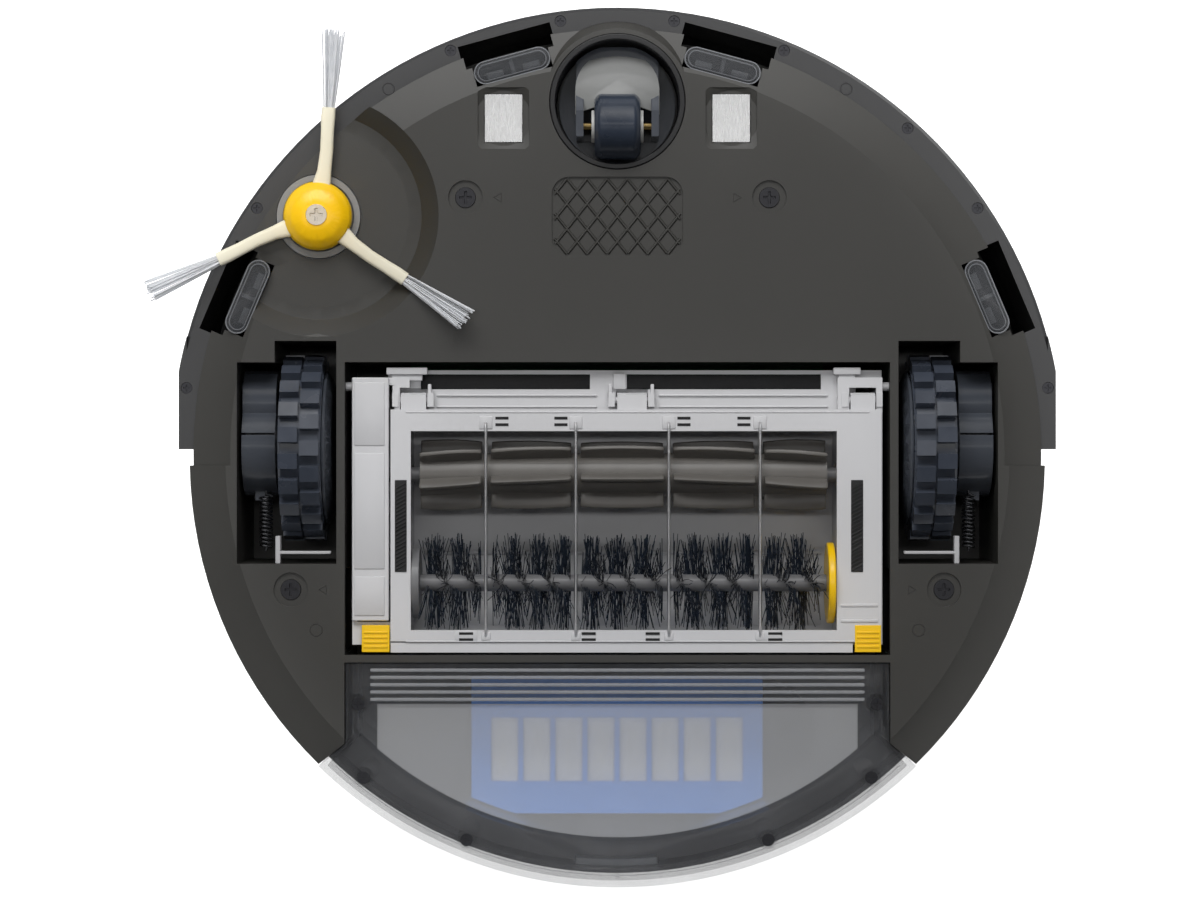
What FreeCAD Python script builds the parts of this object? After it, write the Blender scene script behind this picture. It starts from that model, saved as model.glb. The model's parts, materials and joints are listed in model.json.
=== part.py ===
import FreeCAD
import Part
import math
import os

# Robot floor cleaner, in millimetres.
# Origin: centre of the body at floor level. The bumper faces -Y, the dust bin +Y, up is +Z.

# Overall body
bumper_radius = 178.0
bumper_half_width = 175.0
body_height = 88.0
floor_gap = 13.0
plate = 2.5
gap = 0.5

# Bumper
bumper_stroke = 5.0
bumper_wall = 3.0
bumper_end_y = -1.5
flange_width = 9.0

# Drive wheels
wheel_radius = 37.5
wheel_inner_x = 113.0
tread_width = 21.0
lug_depth = 3.4
lugs_per_row = 22
axle_y = -2.0
arm_length = 29.0
axle_pin_radius = 3.0
running_gap = 0.05

# Caster
caster_radius = 13.0
caster_width = 20.6
caster_well_radius = 24.6
caster_trail = 10.0

# Side brush
hub_x = -118.9
hub_y = -94.1
hub_radius = 13.6
arm_reach = 43.0
bristle_reach = 76.0
arm_angles = (-82.5, 37.5, 157.5)

# Cleaning head
head_half_width = 105.4
head_front_y = -33.0
head_back_y = 79.2
mouth_x = (-82.0, 87.1)
mouth_y = (-8.7, 70.3)
beater_y = 8.7
beater_radius = 14.5
bristle_y = 52.0
bristle_radius = 20.4
brush_z = 25.5
shaft_radius = 3.0
wire_x = (-52.2, -16.5, 20.4, 56.6)
wire_radius = 0.6
gear_teeth = 12

# Dust bin
bin_half_width = 107.8
bin_front_y = 83.6
bin_wing_y = 115.5
bin_floor_height = 58.0

# Screws
cover_screw_radius = 4.0
small_screw_radius = 2.2

# Sizes that follow
body_radius = bumper_radius - 7.5
body_centre_y = 2.0
lip_radius = bumper_radius - flange_width
flat_radius = lip_radius - 15.4
under = floor_gap
floor_low = under + plate
floor_high = floor_low + 2.0
lip_top = under + 7.0
front_wall_radius = lip_radius - bumper_stroke - gap
split_y = 5.0
bumper_low = lip_top + gap
bumper_high = body_height - 8.7
cover_low = bumper_high + gap
caster_y = -(flat_radius - 14.1)
caster_axle_y = caster_y + caster_trail
axle_z = wheel_radius
pivot_y = axle_y - arm_length
pivot_z = wheel_radius - 3.5
well_inner_x = wheel_inner_x - 1.5
well_split_x = wheel_inner_x + tread_width + 2.0
well_outer_x = well_split_x + 15.0
well_front_y = axle_y - wheel_radius - 5.0
well_back_y = axle_y + wheel_radius + 8.5
well_top = min(body_height - 5.0, 2 * wheel_radius + 3.0)
head_bay_x = head_half_width + 2.8
head_bay_y = (head_front_y - 3.1, head_back_y + 1.0)
float_pin_radius = 1.8
float_pin_y, float_pin_z = head_front_y + 6.5, under + 8.0
lens_radius = flat_radius + 5.8
lens_angles = (-67.1, -15.2, 15.2, 67.1)
bumper_screw_radius = bumper_radius - 4.2
bumper_screw_angles = (7.5, 22.5, 41.8, 55.8, 81.4)
cover_screws = ((-60.3, -101.4), (60.3, -101.4), (-129.6, 54.2), (129.6, 54.2))
contact_x = 45.2
contact_y = caster_y + 6.6
bin_wall = 2.2

nodes = {}


# ---- small builders -------------------------------------------------------------------------

def vec(x, y, z):
    return FreeCAD.Vector(x, y, z)


def box(x0, x1, y0, y1, z0, z1):
    return Part.makeBox(x1 - x0, y1 - y0, z1 - z0, vec(x0, y0, z0))


def rod_x(radius, x0, x1, y, z):
    return Part.makeCylinder(radius, x1 - x0, vec(x0, y, z), vec(1, 0, 0))


def rod_y(radius, y0, y1, x, z):
    return Part.makeCylinder(radius, y1 - y0, vec(x, y0, z), vec(0, 1, 0))


def rod_z(radius, z0, z1, x=0.0, y=0.0):
    return Part.makeCylinder(radius, z1 - z0, vec(x, y, z0), vec(0, 0, 1))


def tube_z(outer, inner, z0, z1, x=0.0, y=0.0):
    return rod_z(outer, z0, z1, x, y).cut(rod_z(inner, z0 - 1, z1 + 1, x, y))


def turned(profile, x=0.0, y=0.0):
    """A closed (radius, z) profile turned about a vertical axis."""
    points = [vec(x + r, y, z) for r, z in profile]
    face = Part.Face(Part.makePolygon(points + points[:1]))
    return face.revolve(vec(x, y, 0), vec(0, 0, 1), 360)


def turned_x(profile, y, z):
    """A closed (x, radius) profile turned about an axis along X."""
    points = [vec(x, y + r, z) for x, r in profile]
    face = Part.Face(Part.makePolygon(points + points[:1]))
    return face.revolve(vec(0, y, z), vec(1, 0, 0), 360)


def prism(points, z0, z1):
    corners = [vec(x, y, z0) for x, y in points]
    return Part.Face(Part.makePolygon(corners + corners[:1])).extrude(vec(0, 0, z1 - z0))


def prism_x(points, x0, x1):
    corners = [vec(x0, y, z) for y, z in points]
    return Part.Face(Part.makePolygon(corners + corners[:1])).extrude(vec(x1 - x0, 0, 0))


def fused(shapes):
    first, rest = shapes[0], shapes[1:]
    return first.fuse(rest).removeSplitter() if rest else first


def turned_about(shape, degrees, x=0.0, y=0.0):
    copy = shape.copy()
    copy.rotate(vec(x, y, 0), vec(0, 0, 1), degrees)
    return copy


def at_rim(shape, degrees):
    """A shape drawn at the front of the body, carried round the rim towards +X."""
    return turned_about(shape, degrees)


def mirrored(shape):
    return shape.mirror(vec(0, 0, 0), vec(1, 0, 0))


def screw(x, y, z, head_radius, head_height, shank_radius, shank_length):
    """A cross-head screw whose head faces down at height z."""
    head = rod_z(head_radius, z, z + head_height, x, y)
    shank = rod_z(shank_radius, z + head_height, z + head_height + shank_length, x, y)
    arm = head_radius * 0.6
    slot = head_radius * 0.13
    depth = head_height * 0.5
    cross = fused([box(x - arm, x + arm, y - slot, y + slot, z - 1, z + depth),
                   box(x - slot, x + slot, y - arm, y + arm, z - 1, z + depth)])
    return fused([head, shank]).cut(cross)


def front_of(shape):
    return shape.cut(box(-400, 400, split_y, 400, -10, 300))


def back_of(shape):
    return shape.cut(box(-400, 400, -400, split_y, -10, 300))


def bin_prism(inset, radius, z0, z1, front):
    """The dust bin's outline: straight sides, wings that spread to the rim, and the rear arc."""
    half = bin_half_width - inset
    wing = 11.0
    corner = (half, bin_wing_y + 0.4 * inset)
    tip = (half + wing, corner[1] + 8.9)
    right = [(half, front), corner, tip, (tip[0] + 2, 400)]
    left = [(-x, y) for x, y in reversed(right)]
    return prism(right + left, z0, z1).common(rod_z(radius, z0, z1, 0, body_centre_y))


# ---- underside cover ------------------------------------------------------------------------

def wheel_openings(z0, z1):
    right = fused([box(well_inner_x, well_split_x, well_front_y, well_back_y, z0, z1),
                   box(well_split_x - 1, well_outer_x, well_front_y + 8.5, well_back_y, z0, z1)])
    return [right, mirrored(right)]


def head_opening(z0, z1):
    return box(-head_bay_x, head_bay_x, head_bay_y[0], head_bay_y[1], z0, z1)


def lens_block(length, width, radius, z0, z1):
    return box(-length / 2, length / 2, -radius - width / 2, -radius + width / 2, z0, z1)


def contact_block(grow, z0, z1):
    wide, long = 7.6 + grow, 9.6 + grow
    right = box(contact_x - wide, contact_x + wide, contact_y - long, contact_y + long, z0, z1)
    return [right, mirrored(right)]


dish_radius = 48.0
dish_top = lip_top - 0.2
dish_floor = lip_top - 1.6
dish_bowl = turned([(dish_radius, under), (dish_radius - 3, under + 1.6), (dish_radius - 7, under + 4.6),
                    (dish_radius - 13, dish_floor), (28, dish_floor), (20, dish_top - 1.8),
                    (17, dish_top - 1.8), (17, dish_top), (20, dish_top), (28, dish_floor + 1.6),
                    (dish_radius - 13, dish_floor + 1.6), (dish_radius - 5.8, under + 6.0),
                    (dish_radius - 1.6, under + 3.0), (dish_radius, under + 2.4)], hub_x, hub_y)

front_cover = turned([(0, under), (flat_radius, under), (lip_radius, lip_top - 0.6), (lip_radius, lip_top),
                      (flat_radius, floor_low), (0, floor_low)])
rear_flat = flat_radius + 1.9
rear_cover = turned([(0, under), (rear_flat, under), (body_radius, lip_top - 0.6), (body_radius, lip_top),
                     (rear_flat, floor_low), (0, floor_low)], 0, body_centre_y)
nose_radius = caster_well_radius + 7.8
nose = turned([(0, under), (nose_radius - 3.4, under), (nose_radius, lip_top - 0.6), (nose_radius, lip_top),
               (0, lip_top)], 0, caster_y)
cover = front_of(front_cover).fuse(back_of(rear_cover)).fuse(nose)
dish_hole = rod_z(dish_radius, 0, 60, hub_x, hub_y)
cover = cover.cut(dish_hole).fuse(dish_bowl.common(rod_z(lip_radius, 0, 60)))
cuts = wheel_openings(0, 60) + [head_opening(0, 60)] + contact_block(0.1, 0, 60)
cuts.append(rod_z(caster_well_radius + 2.5, 0, 60, 0, caster_y))
cuts.append(bin_prism(-gap, 300, 0, 60, bin_front_y - gap))
for angle in lens_angles:
    cuts.append(at_rim(lens_block(31.2, 9.2, lens_radius, 0, 60), angle))
    cuts.append(at_rim(lens_block(36, 9.0, lip_radius - 1.5, 0, 60), angle))
for x, y in cover_screws:
    cuts.append(rod_z(6.8, 0, under + 1.0, x, y))
    cuts.append(rod_z(cover_screw_radius + 0.1, 0, 60, x, y))
for sign in (-1, 1):
    bevel = Part.makeCone(15.0, 11.0, 1.3, vec(sign * contact_x, contact_y, under - 0.01))
    cuts.append(bevel.common(contact_block(2.6, 0, 60)[0 if sign > 0 else 1]))
pad_x, pad_y, pad_centre_y = 26.0, 15.7, caster_y + 45.6
pad = box(-pad_x, pad_x, pad_centre_y - pad_y, pad_centre_y + pad_y, under - 1, under + 1.0)
cuts.append(pad.makeFillet(7, [e for e in pad.Edges if abs(e.tangentAt(e.FirstParameter).z) > 0.9]))
whole_cover = cover
nodes["bottom_cover"] = cover.cut(cuts).removeSplitter()

# ---- main chassis ---------------------------------------------------------------------------

slope = (lip_top - floor_low) / (lip_radius - flat_radius)
wall_foot = floor_low + slope * (front_wall_radius - flat_radius)
cover_under = body_height - 2.5
front_tub = turned([(0, floor_low), (flat_radius, floor_low), (front_wall_radius, wall_foot),
                    (front_wall_radius, cover_under), (front_wall_radius - 2, cover_under),
                    (front_wall_radius - 2, wall_foot + 2), (flat_radius - 1, floor_high), (0, floor_high)])
rear_tub = turned([(0, floor_low), (rear_flat, floor_low), (body_radius, lip_top), (body_radius, cover_low),
                   (body_radius - plate, cover_low), (body_radius - plate, lip_top + 1.4),
                   (rear_flat - 1, floor_high), (0, floor_high)], 0, body_centre_y)
tub = front_of(front_tub).fuse(back_of(rear_tub))
rim_solid = back_of(rod_z(body_radius, lip_top, cover_low, 0, body_centre_y))
outer_parts = []
for sign in (-1, 1):
    cheek = box(front_wall_radius - 4, body_radius + 1, split_y, split_y + 2.5, lip_top, cover_low)
    outer_parts.append((cheek if sign > 0 else mirrored(cheek)).common(rim_solid))
well = box(head_bay_x, well_outer_x + 2, well_front_y - 2, well_back_y + 2, floor_high - 0.5, well_top + 2)
outer_parts += [well, mirrored(well)]
outer_parts.append(box(-head_bay_x, head_bay_x, head_bay_y[0] - 2, head_bay_y[0], floor_low, 60))
bay_side = box(bin_half_width + gap, bin_half_width + gap + 2.2, head_bay_y[1], bin_wing_y + 6,
               floor_low, cover_low)
outer_parts += [bay_side, mirrored(bay_side)]
boss = [rod_z(4.2, floor_high - 0.5, floor_high + 9, x, y) for x, y in cover_screws]
caster_boss = rod_z(caster_well_radius + 5, floor_high - 0.5, floor_high + 6, 0, caster_y)
caster_boss = caster_boss.common(rod_z(front_wall_radius, 0, 100))
tub = fused([tub] + outer_parts + boss + [caster_boss])
cuts = wheel_openings(0, well_top) + [head_opening(0, floor_high + 1)]
cuts.append(box(-head_bay_x, head_bay_x, head_bay_y[0], head_bay_y[1], 0, 70))
cuts.append(rod_z(caster_well_radius + 2.5, 0, 60, 0, caster_y))
cuts.append(rod_z(dish_radius + 0.5, 0, under + 9.2, hub_x, hub_y))
cuts.append(rod_z(20.6, 0, 60, hub_x, hub_y))
cuts.append(bin_prism(-gap, 300, 0, cover_low + 0.1, bin_front_y - gap))
for angle in lens_angles:
    cuts.append(at_rim(lens_block(31.2, 9.2, lens_radius, 0, 28), angle))
    cuts.append(at_rim(lens_block(36.2, 10, lip_radius - 1.5, 0, 28), angle))
for x, y in cover_screws:
    cuts.append(rod_z(1.6, 0, floor_high + 8, x, y))
float_bore = rod_x(float_pin_radius + running_gap, head_bay_x - 1, head_bay_x + 2.6, float_pin_y, float_pin_z)
cuts += [whole_cover, float_bore, mirrored(float_bore)]
nodes["chassis_base"] = tub.cut(cuts).removeSplitter()

nodes["cover_screws"] = Part.makeCompound(
    [screw(x, y, under + 0.5, cover_screw_radius, 2.0, 1.6, 9) for x, y in cover_screws])
nodes["charging_contacts"] = Part.makeCompound(contact_block(0.0, under + 1.2, floor_low))

lens_low = under + 1.6
lenses = [at_rim(lens_block(31, 9, lens_radius, lens_low, lens_low + 3), a) for a in lens_angles]
nodes["cliff_sensor_lenses"] = Part.makeCompound(lenses)

# ---- bumper ---------------------------------------------------------------------------------

inner_face = bumper_radius - bumper_wall
ring = turned([(lip_radius, bumper_low), (bumper_radius - 1.5, bumper_low), (bumper_radius, bumper_low + 2),
               (bumper_radius, bumper_high - 6), (inner_face, bumper_high), (inner_face - 2.4, bumper_high),
               (inner_face, bumper_high - 7), (inner_face, bumper_low + plate),
               (lip_radius, bumper_low + plate)])
side_plate = box(bumper_half_width - 3.2, bumper_half_width, -60, bumper_end_y, bumper_low, bumper_high)
side_plate = side_plate.common(rod_z(bumper_radius, 0, 200))
end_trim = box(-bumper_half_width, bumper_half_width, -400, bumper_end_y, 0, 200)
shell = fused([ring, side_plate, mirrored(side_plate)]).common(end_trim)
window_low, window_high = bumper_low + 28, bumper_low + 43
window = tube_z(bumper_radius, bumper_radius - 1.2, window_low, window_high)
window_sector = prism([(0, 0), (-160, -110), (-160, -400), (160, -400), (160, -110)], 0, 200)
window = window.common(window_sector)
shell = shell.cut(window)
screw_places = []
for angle in bumper_screw_angles:
    for sign in (-1, 1):
        turn = math.radians(sign * angle)
        screw_places.append((bumper_screw_radius * math.sin(turn), -bumper_screw_radius * math.cos(turn)))
bosses = [rod_z(2.8, bumper_low + 2, bumper_low + 10, x, y) for x, y in screw_places]
shell = fused([shell] + bosses).common(rod_z(bumper_radius, 0, 200)).common(end_trim)
cuts = [rod_z(small_screw_radius + 0.1, 0, bumper_low + 1.6, x, y) for x, y in screw_places]
cuts += [rod_z(0.9, 0, bumper_low + 9, x, y) for x, y in screw_places]
for angle in lens_angles:
    cuts.append(at_rim(lens_block(38, 8, lip_radius, 0, bumper_low + 6), angle))
cuts.append(rod_z(nose_radius + 0.2, 0, bumper_low + 10, 0, caster_y))
nodes["bumper_shell"] = shell.cut(cuts).removeSplitter()
nodes["bumper_window"] = window
nodes["bumper_screws"] = Part.makeCompound(
    [screw(x, y, bumper_low + 0.4, small_screw_radius, 1.2, 0.9, 7) for x, y in screw_places])

# ---- drive wheels, arms and springs ---------------------------------------------------------

def drive_side(sign):
    """One drive wheel with its swinging gear case, drawn on the right and mirrored for the left.
    The bracket that stops its drop is returned, to join its twin in one node."""
    side = "right" if sign > 0 else "left"
    place = (lambda s: s) if sign > 0 else mirrored
    tread_x = wheel_inner_x + 4.2
    tread_end = wheel_inner_x + tread_width
    ground = wheel_radius - lug_depth
    tyre = turned_x([(tread_x, ground - 5), (tread_end, ground - 5), (tread_end, ground - 1),
                     (tread_end - 1, ground), (tread_x + 1, ground), (tread_x, ground - 1)], axle_y, axle_z)
    lugs = []
    row = (tread_end - tread_x) / 2
    pitch = 360.0 / lugs_per_row
    for k in range(lugs_per_row):
        for x0, shift in ((tread_x, 0.0), (tread_x + row, pitch / 2)):
            lug = box(x0 + 0.4, x0 + row - 0.4, axle_y - 3.0, axle_y + 3.0, axle_z + ground - 0.6,
                      axle_z + wheel_radius - 0.15)
            lug.rotate(vec(0, axle_y, axle_z), vec(1, 0, 0), k * pitch + shift)
            lugs.append(lug)
    nodes[side + "_tyre"] = place(tyre.fuse(lugs))
    hub_face = wheel_inner_x + 0.6
    rim = turned_x([(hub_face, 0), (hub_face, ground - 9), (wheel_inner_x + 3, ground - 3),
                    (tread_x, ground - 3), (tread_x, ground - 5), (tread_end, ground - 5),
                    (tread_end, ground - 9), (tread_end - 9, ground - 12), (tread_end - 9, 0)],
                   axle_y, axle_z)
    pin = rod_x(axle_pin_radius, tread_end - 10, well_outer_x - 3, axle_y, axle_z)
    nodes[side + "_wheel_hub"] = place(fused([rim, pin]))

    case_x0, case_x1 = well_split_x + 0.2, well_outer_x - 1.4
    front_lobe = rod_x(13.0, case_x0, case_x1, pivot_y + 11, pivot_z)
    rear_lobe = rod_x(20.0, case_x0, case_x1, axle_y - 0.5, axle_z - 1)
    bridge = box(case_x0, case_x1, pivot_y + 11, axle_y, pivot_z - 12, axle_z + 12)
    neck = rod_x(13.0, tread_end - 7.5, case_x0, axle_y, axle_z)
    spring_lug = box(case_x0 + 5, case_x0 + 9, axle_y + 12, axle_y + 21, axle_z - 10, axle_z - 4)
    stub = rod_x(3.0, case_x0, case_x1 + 3.2, pivot_y + 5, pivot_z)
    case = fused([front_lobe, rear_lobe, bridge, neck, spring_lug, stub])
    case = case.cut(rod_x(axle_pin_radius + running_gap, 0, well_outer_x - 2.9, axle_y, axle_z))
    seam = box(0, 400, axle_y - 6.0, axle_y - 5.2, 0, 200).cut(
        box(case_x0 - 8, case_x1 - 0.8, -400, 400, axle_z - 12.2, axle_z + 11.2))
    seam = seam.common(box(case_x0 + 0.1, case_x1 + 0.1, -400, 400, 0, 200))
    nodes[side + "_gear_case"] = place(case.cut(seam))
    coil_x, coil_z = case_x0 + 4, axle_z - 16
    coil = rod_y(3.0, axle_y + 17, well_back_y - 5, coil_x, coil_z)
    nodes[side + "_wheel_spring"] = place(coil.cut(rod_y(1.8, -400, 400, coil_x, coil_z)))
    stop = box(well_split_x - 22, well_split_x, well_back_y - 5, well_back_y - 3.8, under + 3, under + 7)
    leg = box(well_split_x - 2, well_split_x, well_back_y - 11, well_back_y, under + 3, under + 9)
    return place(fused([stop, leg]))


nodes["wheel_stop_brackets"] = Part.makeCompound([drive_side(-1), drive_side(1)])
pivot_bore = rod_x(3.0 + running_gap, well_split_x, well_outer_x + 1.95, pivot_y + 5, pivot_z)
nodes["chassis_base"] = nodes["chassis_base"].cut([pivot_bore, mirrored(pivot_bore)])

# ---- caster ---------------------------------------------------------------------------------

fork_floor = 2 * caster_radius + 3.5
socket_top = fork_floor + 6
stem_radius = 4.0
socket = turned([(caster_well_radius, under - 0.3), (caster_well_radius + 2.3, under - 0.3),
                 (caster_well_radius + 2.3, socket_top + 3), (9, socket_top + 3), (9, socket_top + 14),
                 (stem_radius + running_gap, socket_top + 14), (stem_radius + running_gap, socket_top),
                 (caster_well_radius, socket_top)], 0, caster_y)
nodes["caster_socket"] = socket
fork_half = 16.4
block = box(-fork_half, fork_half, caster_y - 22.5, caster_axle_y + 4.5, 6.5, fork_floor + 5)
round_space = rod_z(caster_well_radius - 1.2, 0, 100, 0, caster_y)
fork = block.common(round_space)
fork_top = rod_z(caster_well_radius - 1.2, fork_floor + 1.5, fork_floor + 5, 0, caster_y)
stem = rod_z(stem_radius, fork_floor + 4, socket_top + 13, 0, caster_y)
hood_cut = rod_x(caster_radius + 1.6, -fork_half + 3.0, fork_half - 3.0, caster_axle_y, caster_radius)
wheel_gap = box(-fork_half + 3.0, fork_half - 3.0, caster_axle_y, caster_axle_y + 60, -5, fork_floor)
low_gap = box(-fork_half + 3.0, fork_half - 3.0, caster_axle_y - 14.6, caster_axle_y + 60, -5, caster_radius)
slant = prism_x([(caster_y - 40, -20), (caster_axle_y - 2, -20), (caster_axle_y - 6, 8), (caster_y - 8, 20),
                 (caster_y - 40, 24)], -60, 60)
fork = fork.cut([slant, hood_cut, wheel_gap, low_gap])
fork = fused([fork, fork_top, stem])
axle_radius = 1.5
fork = fork.cut(rod_x(axle_radius, -60, 60, caster_axle_y, caster_radius))
nodes["caster_fork"] = fork
nodes["caster_axle"] = rod_x(axle_radius, -fork_half + 0.3, fork_half - 0.3, caster_axle_y, caster_radius)
half = caster_width / 2
wheel = turned_x([(-half, axle_radius + running_gap), (half, axle_radius + running_gap), (half, 6.4),
                  (half - 1.2, 6.4), (half - 1.2, caster_radius - 2), (half - 3.2, caster_radius),
                  (-half + 3.2, caster_radius), (-half + 1.2, caster_radius - 2), (-half + 1.2, 6.4),
                  (-half, 6.4)], caster_axle_y, caster_radius)
hub_core = turned_x([(-half, axle_radius + running_gap), (half, axle_radius + running_gap), (half, 6.4),
                     (-half, 6.4)], caster_axle_y, caster_radius)
nodes["caster_hub"] = hub_core
nodes["caster_tyre"] = wheel.cut(hub_core)

# ---- side brush -----------------------------------------------------------------------------

collar = tube_z(hub_radius + 3, hub_radius + 0.6, under - 2.0, dish_top, hub_x, hub_y)
collar = collar.cut(tube_z(hub_radius + 3.5, hub_radius, 0, under + 3.6, hub_x, hub_y))
gearbox = rod_z(19, dish_top, under + 34, hub_x, hub_y).common(rod_z(front_wall_radius - 2.3, 0, 100))
motor_barrel = rod_x(11, hub_x + 10, hub_x + 50, hub_y + 2, under + 21)
gearbox = fused([gearbox, motor_barrel, collar])
nodes["side_brush_gearbox"] = gearbox.cut(rod_z(shaft_radius + running_gap, 0, under + 24, hub_x, hub_y))
arm_low = under - 1.6
dome = turned([(0, under - 6.5), (6, under - 6.2), (10, under - 4.8), (hub_radius - 1, under - 2.6),
               (hub_radius, under - 0.6), (hub_radius, under + 2.6), (0, under + 2.6)], hub_x, hub_y)
arms = []
tufts = []
for angle in arm_angles:
    profile = [(hub_x + 9, hub_y - 3.8), (hub_x + 14, hub_y - 3.4), (hub_x + arm_reach, hub_y - 2.6),
               (hub_x + arm_reach, hub_y + 2.6), (hub_x + 14, hub_y + 3.4), (hub_x + 9, hub_y + 3.8)]
    arms.append(turned_about(prism(profile, arm_low, arm_low + 3.2), angle, hub_x, hub_y))
    side = [(hub_y - 2.2, arm_low + 0.4), (hub_y + 2.2, arm_low + 0.4), (hub_y + 2.2, arm_low + 2.8),
            (hub_y - 2.2, arm_low + 2.8)]
    near = Part.makePolygon([vec(hub_x + arm_reach, y, z) for y, z in side + side[:1]])
    tip_z = 1.5
    tip = [(hub_y - 4.0, tip_z), (hub_y + 4.0, tip_z), (hub_y + 4.0, tip_z + 1.0), (hub_y - 4.0, tip_z + 1.0)]
    far = Part.makePolygon([vec(hub_x + bristle_reach, y, z) for y, z in tip + tip[:1]])
    tufts.append(turned_about(Part.makeLoft([near, far], True, True), angle, hub_x, hub_y))
arm_star = fused(arms)
nodes["side_brush_arms"] = arm_star.cut(rod_z(9.5, 0, 60, hub_x, hub_y))
post = rod_z(shaft_radius, under + 2.0, under + 22, hub_x, hub_y)
nodes["side_brush_bristles"] = Part.makeCompound(tufts)
hub_screw = screw(hub_x, hub_y, under - 6.8, 4.2, 2.6, 1.8, 14)
screw_hole = fused([rod_z(4.2, 0, under - 4.2, hub_x, hub_y), rod_z(1.8, 0, under + 9.8, hub_x, hub_y)])
hub = fused([dome, post]).cut(nodes["side_brush_arms"])
nodes["side_brush_hub"] = hub.cut(screw_hole)
nodes["side_brush_screw"] = hub_screw

# ---- cleaning head --------------------------------------------------------------------------

head_low = under + 3.2
fin_half = 2.4
head_top = brush_z + math.hypot(bristle_radius, fin_half) + 0.7 + 2.2
hw = head_half_width
left_wall = box(-hw, mouth_x[0] - 0.6, head_front_y + 3, head_back_y - 3, head_low, head_top)
right_wall = box(mouth_x[1] + 0.5, hw, head_front_y + 3, head_back_y - 3, head_low, head_top)
back_panel = box(-hw + 14, hw, head_front_y, mouth_y[0] - 1, under + 7, under + 10)
front_wall = box(-hw + 14, hw, mouth_y[0] - 3.2, mouth_y[0] - 0.8, head_low + 1, head_top)
rear_wall = box(-hw + 14, hw, mouth_y[1] + 2.4, mouth_y[1] + 5, head_low, head_top)
hood = box(-hw + 14, hw, mouth_y[0] - 3.2, mouth_y[1] + 5, head_top - 2.2, head_top)
lip = box(-hw + 15.4, hw - 12, mouth_y[1] + 5, head_back_y, under + 0.6, under + 4.4)
frame = fused([left_wall, right_wall, back_panel, front_wall, rear_wall, hood, lip])
gear_pocket = box(-hw + 2, mouth_x[0] - 6.6, head_front_y + 6, head_back_y - 12, 0, head_top - 2.5)
right_pocket = box(mouth_x[1] + 8, hw - 2.2, head_front_y + 6, head_back_y - 6, head_low + 2.5, head_top + 1)
throat = box(mouth_x[0] + 8, mouth_x[1] - 8, mouth_y[1], head_back_y + 1, brush_z - 2, head_top - 3)
cuts = [gear_pocket, right_pocket, throat]
for y in (beater_y, bristle_y):
    cuts.append(rod_x(shaft_radius + running_gap, -hw + 2, mouth_x[0] + 1, y, brush_z))
    cuts.append(rod_x(5.0, mouth_x[1], mouth_x[1] + 8.1, y, brush_z))
for x0, x1 in ((-78.4, -10.9), (3.8, 81.2)):
    cuts.append(box(x0, x1, head_front_y + 1.6, head_front_y + 7.6, 0, 60))
hinge_y, hinge_z = mouth_y[0] - 12.3, under + 5.0
hinge_lugs = ((-86, -76), (0, 11.7), (92.7, 102.4))
blocks = []
for x0, x1 in hinge_lugs:
    cuts.append(rod_x(5.3, x0 - gap, x1 + gap, hinge_y, hinge_z))
    cuts.append(box(x0 - gap, x1 + gap, hinge_y, hinge_y + 5, 0, hinge_z + 2))
    for x in (x0 - gap - 3, x1 + gap):
        blocks.append(box(x, x + 2.5, hinge_y - 3, hinge_y + 2.6, hinge_z - 2.5, under + 7.5))
pin_line = rod_x(1.5 + running_gap, -400, 400, hinge_y, hinge_z)
float_pins = [rod_x(float_pin_radius, hw - 1.5, head_bay_x + 2.4, float_pin_y, float_pin_z)]
float_pins.append(mirrored(float_pins[0]))
frame = fused([frame.cut(cuts)] + blocks + float_pins)
nodes["head_frame"] = frame.cut([pin_line])
gearbox_lid = box(-hw, mouth_x[0] - 8.7, head_front_y + 3, head_back_y - 12.5, under + 0.8, head_low)
nodes["head_gearbox_cover"] = gearbox_lid
bushes = [rod_x(5.0, mouth_x[1] + 0.6, mouth_x[1] + 8.0, y, brush_z).cut(
    rod_x(shaft_radius + running_gap, 0, 400, y, brush_z)) for y in (beater_y, bristle_y)]
nodes["brush_bearings"] = Part.makeCompound(bushes)
nodes["head_motor"] = rod_x(8.6, -62, 10, head_front_y + 11.2, under + 18.8)

gear_x0, gear_x1 = -hw + 4, -hw + 11
steps = 3
gear_pitch = (bristle_y - beater_y) / steps
gear_radius = gear_pitch / 2 - 0.02
module = 2 * gear_radius / gear_teeth


def gear(y, turn):
    """A spur gear with straight-flanked teeth and generous backlash."""
    outline = []
    tooth = 2 * math.pi / gear_teeth
    for k in range(gear_teeth):
        middle = k * tooth + math.radians(turn)
        for share, radius in ((-0.27, gear_radius - 1.15 * module), (-0.12, gear_radius + 0.8 * module),
                              (0.12, gear_radius + 0.8 * module), (0.27, gear_radius - 1.15 * module)):
            angle = middle + share * tooth
            outline.append((y + radius * math.cos(angle), brush_z + radius * math.sin(angle)))
    return prism_x(outline, gear_x0, gear_x1)


half_tooth = 180.0 / gear_teeth
beater_gear = gear(beater_y, 0)
bristle_gear = gear(bristle_y, half_tooth)
idler_names = ("front_idler_gear", "rear_idler_gear")
for k, name in enumerate(idler_names):
    y = beater_y + (k + 1) * gear_pitch
    body = gear(y, half_tooth if k == 0 else 0)
    pin_hole = rod_x(1.5 + running_gap, -200, 0, y, brush_z)
    nodes[name] = body.cut(pin_hole)
pins = [rod_x(1.5, -hw + 2, mouth_x[0] - 6.6, beater_y + (k + 1) * gear_pitch, brush_z) for k in range(2)]
nodes["head_frame"] = fused([nodes["head_frame"]] + pins)

cavity_left, cavity_right = mouth_x[0] + 0.2, mouth_x[1] - 0.4


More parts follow.
